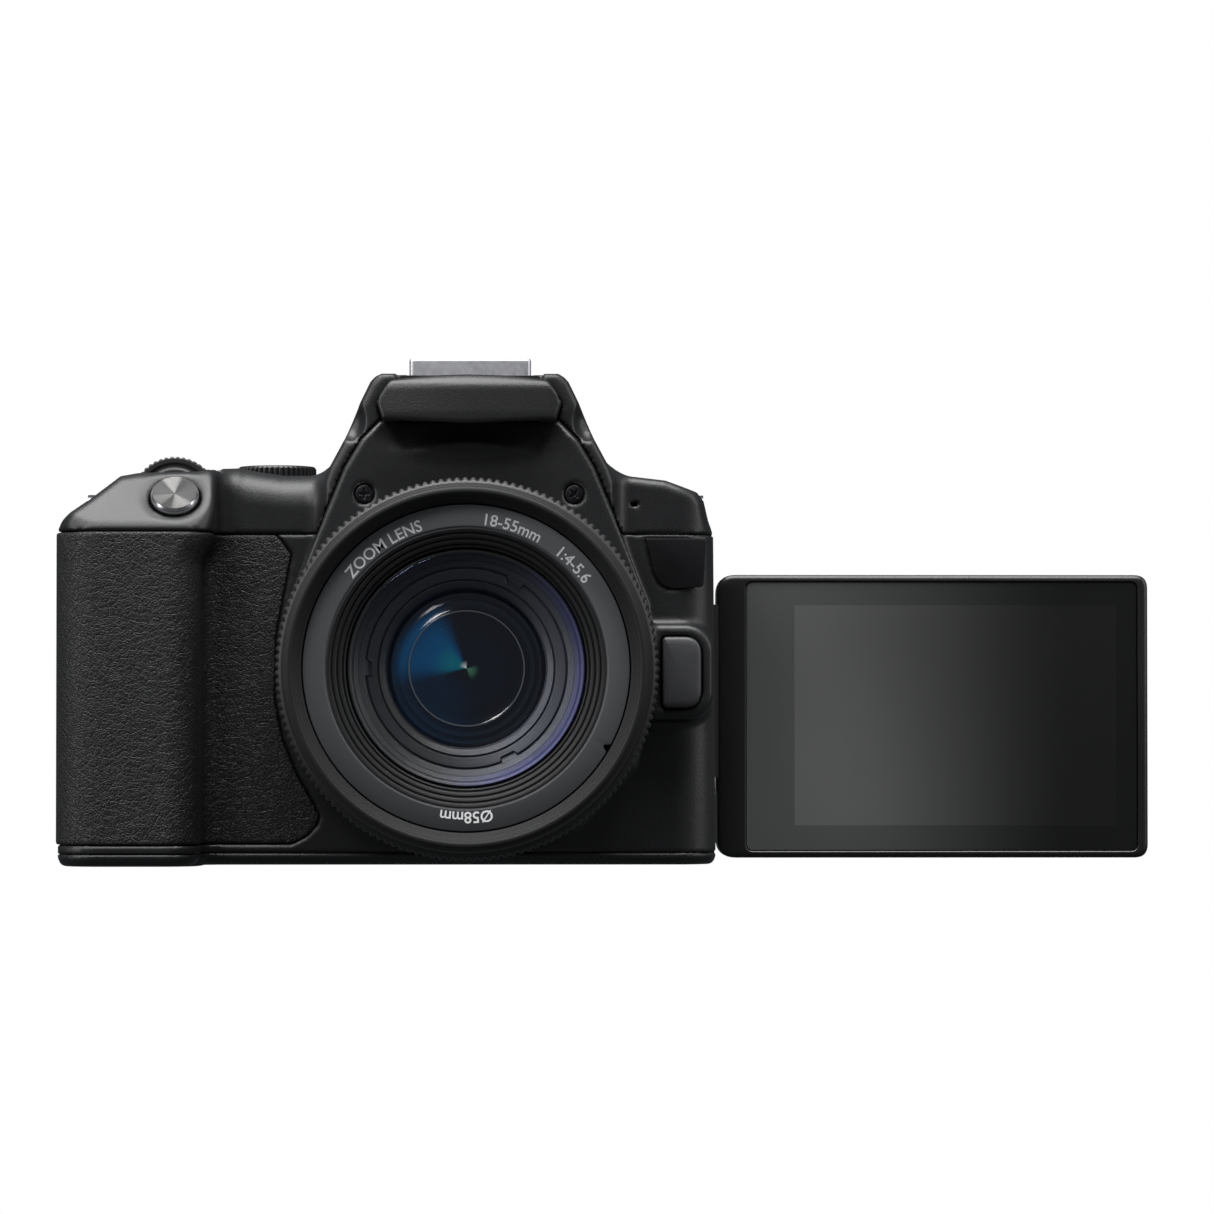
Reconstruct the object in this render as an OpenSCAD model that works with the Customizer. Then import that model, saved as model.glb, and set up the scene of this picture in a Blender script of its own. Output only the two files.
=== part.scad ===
// Compact single-lens reflex camera with a zoom lens and a side-hinged screen.
// Frame: millimetres, +Z up, the lens looks along -Y, +X is the screen's side.
// Origin: centre of the tripod socket's mouth, in the plane of the base.

/* [Body] */
// Lens axis to the outer side of the hand grip
grip_reach = 75; // [73:0.5:90]
// Lens axis to the outer side at the screen's hinge
hinge_reach = 46; // [46:0.5:56]
// Base to the shoulders of the top cover
shoulder_z = 71.6; // [70:0.2:86]
// Shoulders to the top of the finder hump
hump_rise = 19; // [18:0.2:24]
// Base to the lens axis
axis_z = 35.2; // [34.6:0.1:38]
// Depth of the rear cover behind the tripod socket
back_y = 36.4; // [35.6:0.2:44]
// Depth of the front face ahead of the tripod socket
face_depth = 11.5; // [10.5:0.5:14]
// Depth of the hand grip ahead of the tripod socket
grip_depth = 27.2; // [26:0.2:33]
// Wall thickness of the moulded covers
wall = 2; // [1.8:0.1:2.4]
// Thickness of the rubber skins
skin = 0.9; // [0.6:0.1:1]

/* [Lens] */
// Lens mount flange ahead of the tripod socket
flange_depth = 24; // [23:0.5:26]
// Flange to the front rim of the lens
lens_length = 61.8; // [58:0.2:76]
// Radius over the ribs of the zoom ring
zoom_r = 33.4; // [32.8:0.1:34]
// Number of ribs on the zoom ring
zoom_ribs = 72; // [36:12:96]
// Radius of the filter thread
filter_r = 29; // [28.6:0.1:29.2]
// Travel of the inner barrel over the zoom range
zoom_travel = 9; // [4:0.5:10]

/* [Screen] */
// Width of the screen panel
screen_w = 82.5; // [68:0.5:84]
// Height of the screen panel
screen_h = 54; // [45:0.5:54.5]
// Thickness of the screen panel
screen_t = 8.4; // [7.4:0.1:9]
// Swing axis to the near edge of the panel
hinge_arm = 3.4; // [3.3:0.1:4]

/* [Controls] */
// Radius of the shutter button
shutter_r = 4.4; // [3.8:0.1:4.8]
// Radius of the mode dial
mode_dial_r = 7.4; // [6.4:0.1:8]
// Radius of the main dial
main_dial_r = 8; // [7:0.1:8.4]
// Radius of the round buttons
button_r = 2.4; // [2:0.1:2.8]
// Outer radius of the four-way keys
pad_r = 9.4; // [8:0.1:10]

/* [Fits] */
// Gap round a button or a dial in its hole
button_gap = 0.3; // [0.3:0.05:0.4]
// Gap round the closed screen panel in its recess
recess_gap = 0.5; // [0.45:0.05:0.8]
// Radial clearance of a pin that turns in its bore
run_gap = 0.05; // [0.02:0.01:0.1]
// Radius of a quarter-inch tripod screw
tripod_r = 3.175; // [3.1:0.025:3.2]

/* [Hidden] */
$fn = 72;

// Places that follow from the driving sizes
flange_y = -flange_depth;
face_y = -face_depth;
grip_y = -grip_depth;
split_z = shoulder_z - 11;
hump_z = shoulder_z + hump_rise;
seam_y = 12;
base_t = 2.2;
far = 300;

// ---------- Drawing helpers ----------
function inward(a, b) = [a[1] - b[1], b[0] - a[0]] / norm(b - a);
// The corners of an anticlockwise outline, moved inwards by d
function inset(p, d) = [
    for (i = [0 : len(p) - 1]) let (
        before = inward(p[(i + len(p) - 1) % len(p)], p[i]),
        after = inward(p[i], p[(i + 1) % len(p)])
    ) p[i] + (before + after) * d / (1 + before * after)
];
module slab(z0, z1) {
    translate([0, 0, z0]) linear_extrude(z1 - z0) children();
}
// A flat outline in x and z, drawn out from depth y0 to depth y1
module standing(y0, y1) {
    translate([0, y1, 0]) rotate([90, 0, 0]) linear_extrude(y1 - y0) children();
}
module rod_x(y, z, r, x0, x1) {
    translate([x0, y, z]) rotate([0, 90, 0]) cylinder(r = r, h = x1 - x0);
}
module rod_y(x, z, r, y0, y1) {
    translate([x, y0, z]) rotate([-90, 0, 0]) cylinder(r = r, h = y1 - y0);
}
module rod_z(x, y, r, z0, z1) {
    translate([x, y, z0]) cylinder(r = r, h = z1 - z0);
}
module block(low, high) {
    translate(low) cube(high - low);
}
module rounded(w, h, r) {
    square([w - 2 * r, h], center = true);
    square([w, h - 2 * r], center = true);
    for (x = [-1, 1], y = [-1, 1]) translate([x * (w / 2 - r), y * (h / 2 - r)]) circle(r = r);
}
// Turns a half section about the lens axis; its points are [radius, depth]
module lathe(points) {
    translate([0, 0, axis_z]) rotate([90, 0, 0])
        rotate_extrude($fn = 120) polygon([for (p = points) [p[0], -p[1]]]);
}

// Fall of a ball's surface below its top, at a distance from its middle
function dome(at, ball) = ball - sqrt(ball * ball - at * at);

// ---------- Plan outline of the body ----------
grip_a = 14.6;
grip_xc = -(grip_reach - grip_a);
grip_side_y = -4;
corner_r = 9;
rear_r = 6;

function smooth_min(a, b, k) = min(a, b) - k * ln(1 + exp(-abs(a - b) / k));
function grip_front(x) =
    let (t = min(1, abs((x - grip_xc) / grip_a)))
    let (e = x < grip_xc ? 3 : 4.5)
    grip_side_y - (grip_side_y - grip_y) * pow(1 - pow(t, e), 1 / e);
front_points = concat(
    [for (i = [0 : 6]) let (x = grip_xc - grip_a * cos(i * 15)) [x, grip_front(x)]],
    [for (i = [1 : 12]) let (x = grip_xc + grip_a * sin(i * 7.2))
        [x, smooth_min(grip_front(x), face_y, 0.8)]],
    [[grip_xc + grip_a + 1.6, face_y]],
    [for (i = [0 : 6]) [hinge_reach - corner_r + corner_r * sin(i * 15),
        face_y + corner_r - corner_r * cos(i * 15)]]
);
rear_points = [
    for (a = [0 : 22.5 : 90])
        [hinge_reach - rear_r + rear_r * cos(a), back_y - rear_r + rear_r * sin(a)],
    for (a = [90 : 22.5 : 180])
        [-grip_reach + rear_r + rear_r * cos(a), back_y - rear_r + rear_r * sin(a)]
];
plan_points = concat(front_points, rear_points);
module plan(by = 0) {
    polygon(inset(plan_points, by));
}
module shell(z0, z1) {
    difference() {
        slab(z0, z1) plan();
        slab(z0 - 1, z1 + 1) plan(wall);
    }
}

// ---------- Front housing and finder hump outlines ----------
skirt_y = flange_y + 2;
skirt_r = 34;
skirt_top_z = hump_z - 9.8;
skirt_top_w = 16;
skirt_slope = 0.545;
skirt_join_z = axis_z + 14;
function skirt_w(z) = skirt_top_w + (skirt_top_z - z) * skirt_slope;
module skirt(by = 0) {
    polygon(inset([
        [skirt_top_w, skirt_top_z], [-skirt_top_w, skirt_top_z],
        [-skirt_w(skirt_join_z), skirt_join_z], [-skirt_r + 1, axis_z],
        [skirt_r - 1, axis_z], [skirt_w(skirt_join_z), skirt_join_z]
    ], by));
    intersection() {
        translate([0, axis_z]) circle(r = skirt_r - by);
        translate([-far / 2, base_t + by]) square([far, skirt_join_z - base_t - by]);
    }
}
hump_top_w = 17.4;
hump_slope = 0.54;
hump_foot_w = hump_top_w + (hump_rise - 3.4) * hump_slope;
hump_y = -18;
module hump(by = 0) {
    polygon(inset([
        [hump_top_w - 1.5, hump_z], [-hump_top_w + 1.5, hump_z], [-hump_top_w, hump_z - 1.5],
        [-hump_foot_w, shoulder_z + 3.4], [-hump_foot_w - 4.6, shoulder_z],
        [-hump_foot_w - 4.6, split_z], [hump_foot_w + 4.6, split_z],
        [hump_foot_w + 4.6, shoulder_z], [hump_foot_w, shoulder_z + 3.4],
        [hump_top_w, hump_z - 1.5]
    ], by));
}
// Slopes of the two ends of the top cover
module top_profile(by = 0) {
    polygon(inset([
        [-grip_reach - 0.4, split_z - by], [hinge_reach + 0.1, split_z - by],
        [hinge_reach - 1.6, split_z + 0.4],
        [hinge_reach - 2.8, shoulder_z - 6], [hinge_reach - 4.8, shoulder_z - 3.9],
        [hump_foot_w + 4, shoulder_z], [-grip_reach + 15, shoulder_z],
        [-grip_reach + 12.4, shoulder_z - 0.6], [-grip_reach + 0.4, split_z + 1.4]
    ], by));
}

// ---------- Slope at the top of the grip ----------
slope_z = split_z + 1.7;
slope_y = grip_y + 0.9;
slope_angle = 48;
slope_x1 = -40;
module slope_cut(by = 0) {
    translate([-grip_reach - 5, slope_y, slope_z]) rotate([slope_angle, 0, 0])
        translate([0, -30, -by]) cube([grip_reach + 5 + slope_x1, 60, 40]);
}
shutter_x = grip_xc + 7;
shutter_up = 6.6;
shutter_travel = 1.2;
module at_shutter() {
    translate([shutter_x, slope_y, slope_z]) rotate([slope_angle, 0, 0])
        translate([0, shutter_up, 0]) children();
}

// ---------- Dials and buttons of the top ----------
main_dial_x = grip_xc + 6.3;
main_dial_y = slope_y + 17.8;
main_dial_z = shoulder_z + 3.3 - main_dial_r;
main_dial_t = 5;
main_pin_r = 1.5;
mode_x = -36.5;
mode_y = 16;
mode_floor_z = shoulder_z - 2.8;
mode_stem_r = 2;
lever_bore_r = 3.2;
lever_t = 1.4;
lever_r = mode_dial_r + 0.9;
mode_cup_r = lever_r + 2.4;
top_button_y = 3;
iso_x = main_dial_x + 2.5;
display_x = main_dial_x - 6.5;
top_travel = 0.6;

// ---------- Flash ----------
flash_hinge_y = -6;
flash_hinge_z = hump_z - 5;
flash_front_y = skirt_y - 9.4;
flash_w = 2 * hump_top_w - 2.4;
flash_floor_z = skirt_top_z + 0.4;
flash_rear_w = 26;
flash_rear_r = 4.2;
trunnion_r = 1.5;

// ---------- Finder and rear controls ----------
finder_z = shoulder_z + 4.6;
finder_w = 30;
finder_h = 19;
eyecup_y = back_y + 6.1;
diopter_r = 3;
diopter_x = finder_w / 2 + diopter_r + 1.4;
diopter_z = finder_z;
rear_travel = 0.6;
proud = 0.9;

// ---------- Screen recess and hinge ----------
swing_x = hinge_reach + 0.8 - hinge_arm;
swing_y = back_y - 4.4;
screen_z0 = 0.4;
tilt_z = screen_z0 + screen_h / 2;
screen_x0 = swing_x + hinge_arm;
screen_x1 = screen_x0 + screen_w;
screen_y0 = swing_y - screen_t / 2;
screen_y1 = swing_y + screen_t / 2;
recess_x0 = swing_x - hinge_arm - screen_w - recess_gap;
recess_y = swing_y - screen_t / 2 - recess_gap;
recess_z1 = screen_z0 + screen_h + recess_gap;
knuckle_r = 2.6;
knuckle_h = 20;
lug_h = 4;
swing_pin_r = 1.2;
tilt_pin_r = 1.8;
tilt_pin_l = 8;
module recess(grow = 0) {
    block([recess_x0 - grow, recess_y - grow, -far], [far, far, recess_z1 + grow]);
}

pad_x = (recess_x0 - wall - grip_reach + wall) / 2 - 0.4;
pad_z = 26;
set_r = 3.4;
flank = pad_r - 3.2;
rear_spots = [
    [-finder_w / 2 - 6, finder_z - 8.4], [pad_x + 2.4, split_z + 4.6],
    [pad_x - 4.8, split_z + 3.8], [pad_x + flank, pad_z + pad_r + 5.4],
    [pad_x - flank, pad_z + pad_r + 5.4], [pad_x + flank, pad_z - pad_r - 5.4],
    [pad_x - flank, pad_z - pad_r - 5.4]
];

// ---------- Lens release ----------
release_x = skirt_r + 4.7;
release_w = 7;
release_h = 12.9;
release_travel = 2;
release_top_y = skirt_y + 2.4;
module release_shape(grow = 0) {
    intersection() {
        translate([release_x - release_w / 2 - grow, axis_z - release_h / 2 - grow])
            square([release_w + 2 * grow, release_h + 2 * grow]);
        translate([release_x - release_w / 2, axis_z]) circle(r = release_w + 0.6 + grow);
    }
}

// ---------- Openings of the base ----------
door_x1 = -46;
door_inset = 2.8;
door_y1 = 22;
latch_travel = 2;
module door_shape(by = 0) {
    intersection() {
        plan(door_inset + by);
        translate([-far, -far]) square([far + door_x1 - by, far + door_y1 - by]);
    }
}
base_screw_spots = [[-38, -4], [38, -4], [38, 19], [-38, 19]];
battery_x = -62.6;
battery_y0 = grip_y + 5.6;
card_x = -50.6;

// ---------- Terminal cover ----------
jack_y0 = face_y + corner_r + 0.6;
jack_y1 = seam_y - 0.6;
jack_z0 = 16;
jack_z1 = 48;
jack_t = 1;

// ---------- Rubber zones ----------
module grip_zone(grow = 0) {
    block([-far, -far, base_t + 1.4 - grow], [-34 + grow, 4 + grow, split_z]);
}
module thumb_zone() {
    block([-grip_reach - 1, back_y - 8, pad_z + pad_r + 10], [recess_x0 - 2, far, split_z]);
}

// ---------- Lens places ----------
front_y = flange_y - lens_length;
core_r = 29.4;
core_in_r = 27.4;
core_y = flange_y - 42;
zoom_y0 = flange_y - 15;
zoom_y1 = core_y + 0.4;
head_y = core_y - 2.4;
focus_y0 = head_y - 1.4;
focus_y1 = focus_y0 - 7;
focus_r = 31.6;
head_r = 30.2;
plate_y = front_y + 3.6;
glass_r = 17.3;
glass_y = focus_y0 - 3.2;

// ==================== Covers ====================
module front_cover() color("#26262a") difference() {
    union() {
        intersection() {
            shell(base_t, split_z);
            translate([-far, -far, 0]) cube([2 * far, far + seam_y, far]);
        }
        difference() {
            standing(skirt_y, face_y + wall) skirt();
            standing(skirt_y + wall, face_y + wall + 1) skirt(wall);
        }
        // raised rim and floor of the lens release
        standing(release_top_y - 1, face_y + 0.5) release_shape(2.1);
    }
    standing(release_top_y - 2, face_y - 0.5) release_shape(button_gap);
    rod_y(release_x, axis_z, 1.5 + run_gap, release_top_y, face_y + wall + 1);
    rod_y(0, axis_z, 30, skirt_y - 1, face_y + wall + 1);
    for (x = [-1, 1]) screw_seat(x * 19.05);
    rod_y(-32.4, shoulder_z - 5.5, 0.5, face_y - 1, face_y + 1);
    // room under the flash head, dial slot and rubber seat
    intersection() {
        grip_zone();
        difference() {
            slab(0, far) plan(-5);
            slab(-1, far + 1) plan(skin);
        }
    }
    block([hinge_reach - jack_t - 0.3, jack_y0 - button_gap, jack_z0 - button_gap],
          [hinge_reach + 5, jack_y1 + button_gap, jack_z1 + button_gap]);
    badge_shape(face_y - 1, face_y + 0.4, 0);
}
module screw_seat(x) {
    rod_y(x, shoulder_z - 4, 1.9, skirt_y - 1, skirt_y + 0.7);
    rod_y(x, shoulder_z - 4, 0.9, skirt_y, skirt_y + wall + 1);
}
module front_screws() color("#55565a") for (x = [-19.05, 19.05]) difference() {
    union() {
        rod_y(x, shoulder_z - 4, 1.6, skirt_y - 0.2, skirt_y + 0.7);
        rod_y(x, shoulder_z - 4, 0.9, skirt_y, skirt_y + 6);
    }
    for (a = [0, 90]) translate([x, skirt_y - 0.3, shoulder_z - 4]) rotate([0, a, 0])
        cube([2.2, 1.2, 0.4], center = true);
}
module badge_shape(y0, y1, by) {
    standing(y0, y1) polygon(inset([
        [32, split_z - 0.4], [31.7, split_z - 1.2], [33.8, split_z - 8], [36.4, split_z - 10.2],
        [hinge_reach - 3.4, split_z - 9.6], [hinge_reach - 3.4, split_z - 0.4]
    ], by));
}
module badge_plate() color("#1c1c1f") badge_shape(face_y - 0.3, face_y + 0.4, 0.15);

module grip_rubber() color("#141416") intersection() {
    grip_zone(-0.05);
    difference() {
        slab(0, far) plan();
        slab(-1, far + 1) plan(skin);
        rod_y(0, axis_z, skirt_r + 1.4, -far, far);
    }
}
module thumb_rubber() color("#141416") intersection() {
    thumb_zone();
    difference() {
        slab(0, split_z - 0.3) plan();
        slab(-1, far + 1) plan(skin);
    }
}

module main_dial_slot() {
    block([main_dial_x - main_dial_r - 0.4, main_dial_y - main_dial_t / 2 - button_gap, 0],
          [main_dial_x + main_dial_r + 0.4, main_dial_y + main_dial_t / 2 + button_gap, far]);
}
module flash_bay() {
    block([-flash_w / 2 - 0.4, flash_front_y - 1, flash_floor_z - 0.3],
          [flash_w / 2 + 0.4, flash_hinge_y - 3.6, far]);
    block([-flash_rear_w / 2 - 0.4, flash_hinge_y - 7, flash_floor_z - 0.3],
          [flash_rear_w / 2 + 0.4, flash_hinge_y, far]);
    block([-flash_rear_w / 2 - 0.4, flash_hinge_y - 7, flash_hinge_z],
          [flash_rear_w / 2 + 0.4, flash_hinge_y + flash_rear_r + 0.6, far]);
    rod_x(flash_hinge_y, flash_hinge_z, flash_rear_r + 0.6,
          -flash_rear_w / 2 - 0.4, flash_rear_w / 2 + 0.4);
    rod_x(flash_hinge_y, flash_hinge_z, trunnion_r + run_gap,
          -flash_rear_w / 2 - 2.6, flash_rear_w / 2 + 2.6);
}
module top_inside() {
    intersection() {
        difference() {
            slab(split_z - 1, far) plan(wall);
            slope_cut(wall);
        }
        standing(-far, far) top_profile(wall);
    }
    // hollow of the hump, clear of the flash bay
    intersection() {
        standing(hump_y + wall, back_y - wall) hump(wall);
        block([-far, -far, split_z - 1], [far, far, flash_floor_z - 1.9]);
    }
    standing(flash_hinge_y + flash_rear_r + 2.6, back_y - wall) hump(wall + 0.4);
}
module top_cover() color("#242428") difference() {
    union() {
        difference() {
            union() {
                difference() {
                    intersection() {
                        slab(split_z, shoulder_z) plan();
                        standing(-far, far) top_profile();
                    }
                    slope_cut();
                }
                standing(hump_y, back_y) hump();
            }
            top_inside();
        }
        rod_z(mode_x, mode_y, mode_cup_r + wall, mode_floor_z - wall, shoulder_z);
        // lugs that carry the main dial
        for (s = [-1, 1]) block(
            [main_dial_x - 3, main_dial_y + s * (main_dial_t / 2 + 1.6) - 1, main_dial_z - 3],
            [main_dial_x + 3, main_dial_y + s * (main_dial_t / 2 + 1.6) + 1, shoulder_z - 1]);
    }
    standing(-far, face_y + wall) skirt();
    flash_bay();
    main_dial_slot();
    rod_y(main_dial_x, main_dial_z, main_pin_r + run_gap, main_dial_y - 6, main_dial_y + 6);
    difference() {
        rod_z(mode_x, mode_y, mode_cup_r, mode_floor_z, far);
        rod_z(mode_x, mode_y, lever_bore_r - 0.1, 0, mode_floor_z + lever_t);
    }
    rod_z(mode_x, mode_y, mode_stem_r + run_gap, 0, far);
    at_shutter() {
        cylinder(r = shutter_r + button_gap, h = 12, center = true);
        translate([0, 0, -0.5]) cylinder(r = shutter_r + 1.6, h = 4);
        translate([0, 0, -wall - 6]) cylinder(r = shutter_r + 0.9, h = 5.1);
    }
    for (x = [iso_x, display_x]) {
        rod_z(x, top_button_y, button_r + button_gap, split_z, far);
        rod_z(x, top_button_y, button_r + 1.1, split_z, shoulder_z - wall - 0.5);
    }
    // room for the collars under the sloped walls
    rod_y(rear_spots[2][0], rear_spots[2][1], button_r + 1,
          back_y - wall - 4, back_y - wall - 0.5);
    for (i = [0 : 2]) rear_hole(rear_spots[i]);
    block([-8.2, back_y - wall - 1, finder_z - 6.2], [8.2, back_y + 1, finder_z + 6.2]);
    rod_y(diopter_x, diopter_z, diopter_r + button_gap, back_y - wall - 1, back_y + 1);
    rod_y(30.2, shoulder_z - 5.5, 0.5, face_y - 1, face_y + 1);
    block([-11.4, shoe_y0, hump_z - 1], [11.4, shoe_y1, far]);
    for (s = [-1, 1]) lug_body(s, 0);
}
module rear_hole(spot) {
    rod_y(spot[0], spot[1], button_r + button_gap, back_y - wall - 1, back_y + 1);
}
module rear_cover() color("#232327") difference() {
    intersection() {
        union() {
            shell(base_t, split_z);
            intersection() {
                slab(base_t, split_z) plan();
                recess(wall - 0.4);
            }
        }
        translate([-far, seam_y, 0]) cube([2 * far, far, far]);
    }
    recess();
    for (i = [3 : 6]) rear_hole(rear_spots[i]);
    rod_y(pad_x, pad_z, pad_r + button_gap, back_y - wall - 1, back_y + 1);
    intersection() {
        thumb_zone();
        difference() {
            slab(0, far) plan(-5);
            slab(-1, far + 1) plan(skin);
        }
    }
}
module base_cover() color("#222225") difference() {
    slab(0, base_t) plan();
    block([recess_x0, recess_y, -1], [far, far, far]);
    slab(-1, far) door_shape(-button_gap);
    rod_z(0, 0, 7, -1, far);
    for (p = base_screw_spots) {
        rod_z(p[0], p[1], 1.9, -1, 1);
        rod_z(p[0], p[1], 0.95, -1, far);
    }
}
module base_screws() color("#4d4e52") for (p = base_screw_spots) difference() {
    union() {
        rod_z(p[0], p[1], 1.7, 0.2, 1);
        rod_z(p[0], p[1], 0.95, 0.2, 6);
    }
    for (a = [0, 90]) translate([p[0], p[1], 0.3]) rotate([0, 0, a])
        cube([2.2, 0.4, 1], center = true);
}
module tripod_socket() color("#9a9da3") difference() {
    union() {
        rod_z(0, 0, 7, 0, base_t);
        rod_z(0, 0, 8.6, base_t, base_t + 6);
    }
    rod_z(0, 0, tripod_r, -1, base_t + 5);
}
lug_r = 3;
lug_t = 1.4;
lug_y = 7;
function lug_at(s) = s < 0 ? [-grip_reach + 4.4, split_z + 5] : [hinge_reach - 3.2, split_z + 5];
module lug_body(s, grow) {
    rod_x(lug_y, lug_at(s)[1], lug_r + grow, lug_at(s)[0] - lug_t / 2, lug_at(s)[0] + lug_t / 2);
}
module strap_lugs() color("#b9bbc0") for (s = [-1, 1]) difference() {
    lug_body(s, 0);
    rod_x(lug_y, lug_at(s)[1] + 0.7, 1.5, -far, far);
}

// ==================== Mirror box, finder and shutter ====================
mirror_pin_y = 6.6;
mirror_pin_z = axis_z + 11.6;
mirror_l = 22.2;
mirror_w = 27;
mirror_t = 1.2;
mirror_pin_r = 0.8;
box_top = mirror_pin_z + 1.6;
box_y0 = skirt_y + 4;
box_y1 = 9.4;
shutter_y1 = 13.4;
sensor_y = flange_y + 44;
module mirror_box() color("#0f0f10") difference() {
    union() {
        block([-19, box_y0, axis_z - 20], [19, box_y1, box_top + 1.6]);
        rod_y(0, axis_z, 30.4, box_y0, box_y0 + 1.8);
    }
    block([-16.6, box_y0 + 1.8, axis_z - 16], [16.6, box_y1 + 1, box_top]);
    rod_y(0, axis_z, 24, box_y0 - 1, box_y0 + 2);
    block([-14, box_y0 + 5, box_top - 1], [14, mirror_pin_y - 2, far]);
    rod_x(mirror_pin_y, mirror_pin_z, mirror_pin_r + run_gap, -17.8, 17.8);
}
module body_mount_ring() color("#b4b7bb") difference() {
    union() {
        lathe([[27, flange_y], [32, flange_y], [32, skirt_y], [29.8, skirt_y],
            [29.8, box_y0], [27, box_y0]]);
    }
    for (a = [20, 110, 200, 290]) translate([0, 0, axis_z]) rotate([0, a, 0])
        rod_y(30.4, 0, 0.9, flange_y - 1, flange_y + 0.6);
}
module main_mirror() color("#c9d3da") {
    translate([0, mirror_pin_y, mirror_pin_z]) rotate([45, 0, 0]) difference() {
        union() {
            translate([-mirror_w / 2, -mirror_l, -mirror_t / 2]) cube([mirror_w, mirror_l, mirror_t]);
            rod_x(0, 0, mirror_pin_r, -17.4, 17.4);
            for (x = [-9, 7.6]) translate([x, -mirror_l / 2 - 1.2, -3]) cube([1.4, 2.4, 2.6]);
        }
        rod_x(-mirror_l / 2, -2, 0.6 + run_gap, -12, 12);
    }
}
module sub_mirror() color("#aab4bb") {
    translate([0, mirror_pin_y, mirror_pin_z]) rotate([45, 0, 0])
        translate([0, -mirror_l / 2, -2]) {
            translate([-6.8, -0.4, -8]) cube([13.6, 0.8, 8.4]);
            rod_x(0, 0, 0.6, -8.6, 8.6);
        }
}
module focusing_screen() color("#cfd6d8")
    block([-13.6, box_y0 + 5.4, box_top + 0.1], [13.6, mirror_pin_y - 2.4, box_top + 1.5]);
module pentamirror() color("#8f99a3") intersection() {
    rotate([90, 0, 90]) translate([0, 0, -15]) linear_extrude(30) polygon([
        [-12.4, box_top + 2], [6, box_top + 2], [18, box_top + 10], [18, finder_z + 7],
        [6, flash_floor_z - 2.4], [-4, flash_floor_z - 2.4], [-13, box_top + 14]
    ]);
    standing(-20, 30) polygon([
        [-15, box_top + 1], [15, box_top + 1], [15, box_top + 18], [2, flash_floor_z - 2.2],
        [-2, flash_floor_z - 2.2], [-15, box_top + 18]
    ]);
}
module eyepiece_lens() color("#a9c4d4") translate([0, 0, finder_z - axis_z]) lathe(concat(
    [[0, back_y - 2.6]],
    [[7.4, back_y - 2.6]],
    [for (i = [8 : -1 : 0]) [7.4 * i / 8, back_y - 6.4 + dome(7.4 * i / 8, 22)]]
));
module eyecup() color("#101012") difference() {
    standing(back_y, eyecup_y) translate([0, finder_z]) rounded(finder_w, finder_h, 5);
    standing(back_y - 1, eyecup_y + 1) translate([0, finder_z]) rounded(16.4, 12.4, 3);
    standing(eyecup_y - 1.6, eyecup_y + 1) translate([0, finder_z]) rounded(21, 15, 4);
}
module diopter_dial() color("#2c2c30") {
    difference() {
        rod_y(diopter_x, diopter_z, diopter_r, back_y - wall - 0.6, back_y + proud);
        for (a = [0 : 30 : 330]) translate([diopter_x, 0, diopter_z]) rotate([0, a, 0])
            rod_y(diopter_r + 0.1, 0, 0.35, back_y, back_y + 2);
    }
}
module shutter_unit() color("#1a1a1c") {
    difference() {
        block([-22, box_y1 + 0.2, axis_z - 20], [22, shutter_y1, axis_z + 16]);
        block([-12, box_y1, axis_z - 8], [12, far, axis_z + 8]);
        block([-19, box_y1 + 1.4, axis_z - 18], [19, box_y1 + 2.6, axis_z + 14]);
    }
    for (i = [0 : 3]) block([-18, box_y1 + 1.5 + (i % 2) * 0.5, axis_z - 9 + i * 4.4],
        [18, box_y1 + 1.9 + (i % 2) * 0.5, axis_z - 3.8 + i * 4.4]);
}
module image_sensor() color("#31404a") {
    block([-13.5, sensor_y, axis_z - 10], [13.5, sensor_y + 1.6, axis_z + 10]);
}
module main_board() color("#1d4a35") difference() {
    block([-34, sensor_y + 1.7, base_t + 4], [38, sensor_y + 3.2, split_z - 3]);
    for (x = [-31, 35], z = [9, split_z - 6]) rod_y(x, z, 1.2, sensor_y, sensor_y + 5);
}
module battery() color("#3a3a3e") translate([battery_x, battery_y0 + 16.6, base_t + 0.8])
    linear_extrude(45.5) rounded(14, 33, 1.6);
module memory_card() color("#1c3a63") {
    block([card_x, -4, base_t + 1], [card_x + 2.1, 20, base_t + 33]);
}
module battery_door() color("#242427") difference() {
    union() {
        slab(0, base_t - 0.2) door_shape();
        rod_y(door_x1 - 0.9, 0.9, 0.9, -8, 18);
    }
    block([door_x1 - 20, -6, -1], [door_x1 - 9.6, 6, 1.1]);
}
module door_latch() color("#3a3a3d") difference() {
    block([door_x1 - 19.8, -5.7, 0.1], [door_x1 - 12, 5.7, 1]);
    for (i = [0 : 3]) block([door_x1 - 18.6 + i * 1.6, -4, -1], [door_x1 - 18 + i * 1.6, 4, 0.4]);
}

// ==================== Hot shoe and flash ====================
shoe_y0 = flash_hinge_y + flash_rear_r + 1.2;
shoe_y1 = shoe_y0 + 18.6;
shoe_top = hump_z + 3.1;
module hot_shoe() color("#8d9095") difference() {
    block([-11.3, shoe_y0 + 0.1, hump_z - 1], [11.3, shoe_y1 - 0.1, shoe_top]);
    block([-9.3, shoe_y0 + 2.4, hump_z], [9.3, far, shoe_top - 1.1]);
    block([-6.3, shoe_y0 + 2.4, hump_z], [6.3, far, far]);
    for (p = [[0, 9.4], [-3, 5.6], [3, 5.6], [-3, 12.6], [3, 12.6]])
        rod_z(p[0], shoe_y0 + p[1], 0.7, hump_z - 0.3, hump_z + 1);
}
module shoe_springs() color("#d4d5d8") for (s = [-1, 1]) {
    block([s * 7.9 - 1, shoe_y0 + 2.6, hump_z + 1.2], [s * 7.9 + 1, shoe_y1 - 2, hump_z + 1.5]);
}
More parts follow.
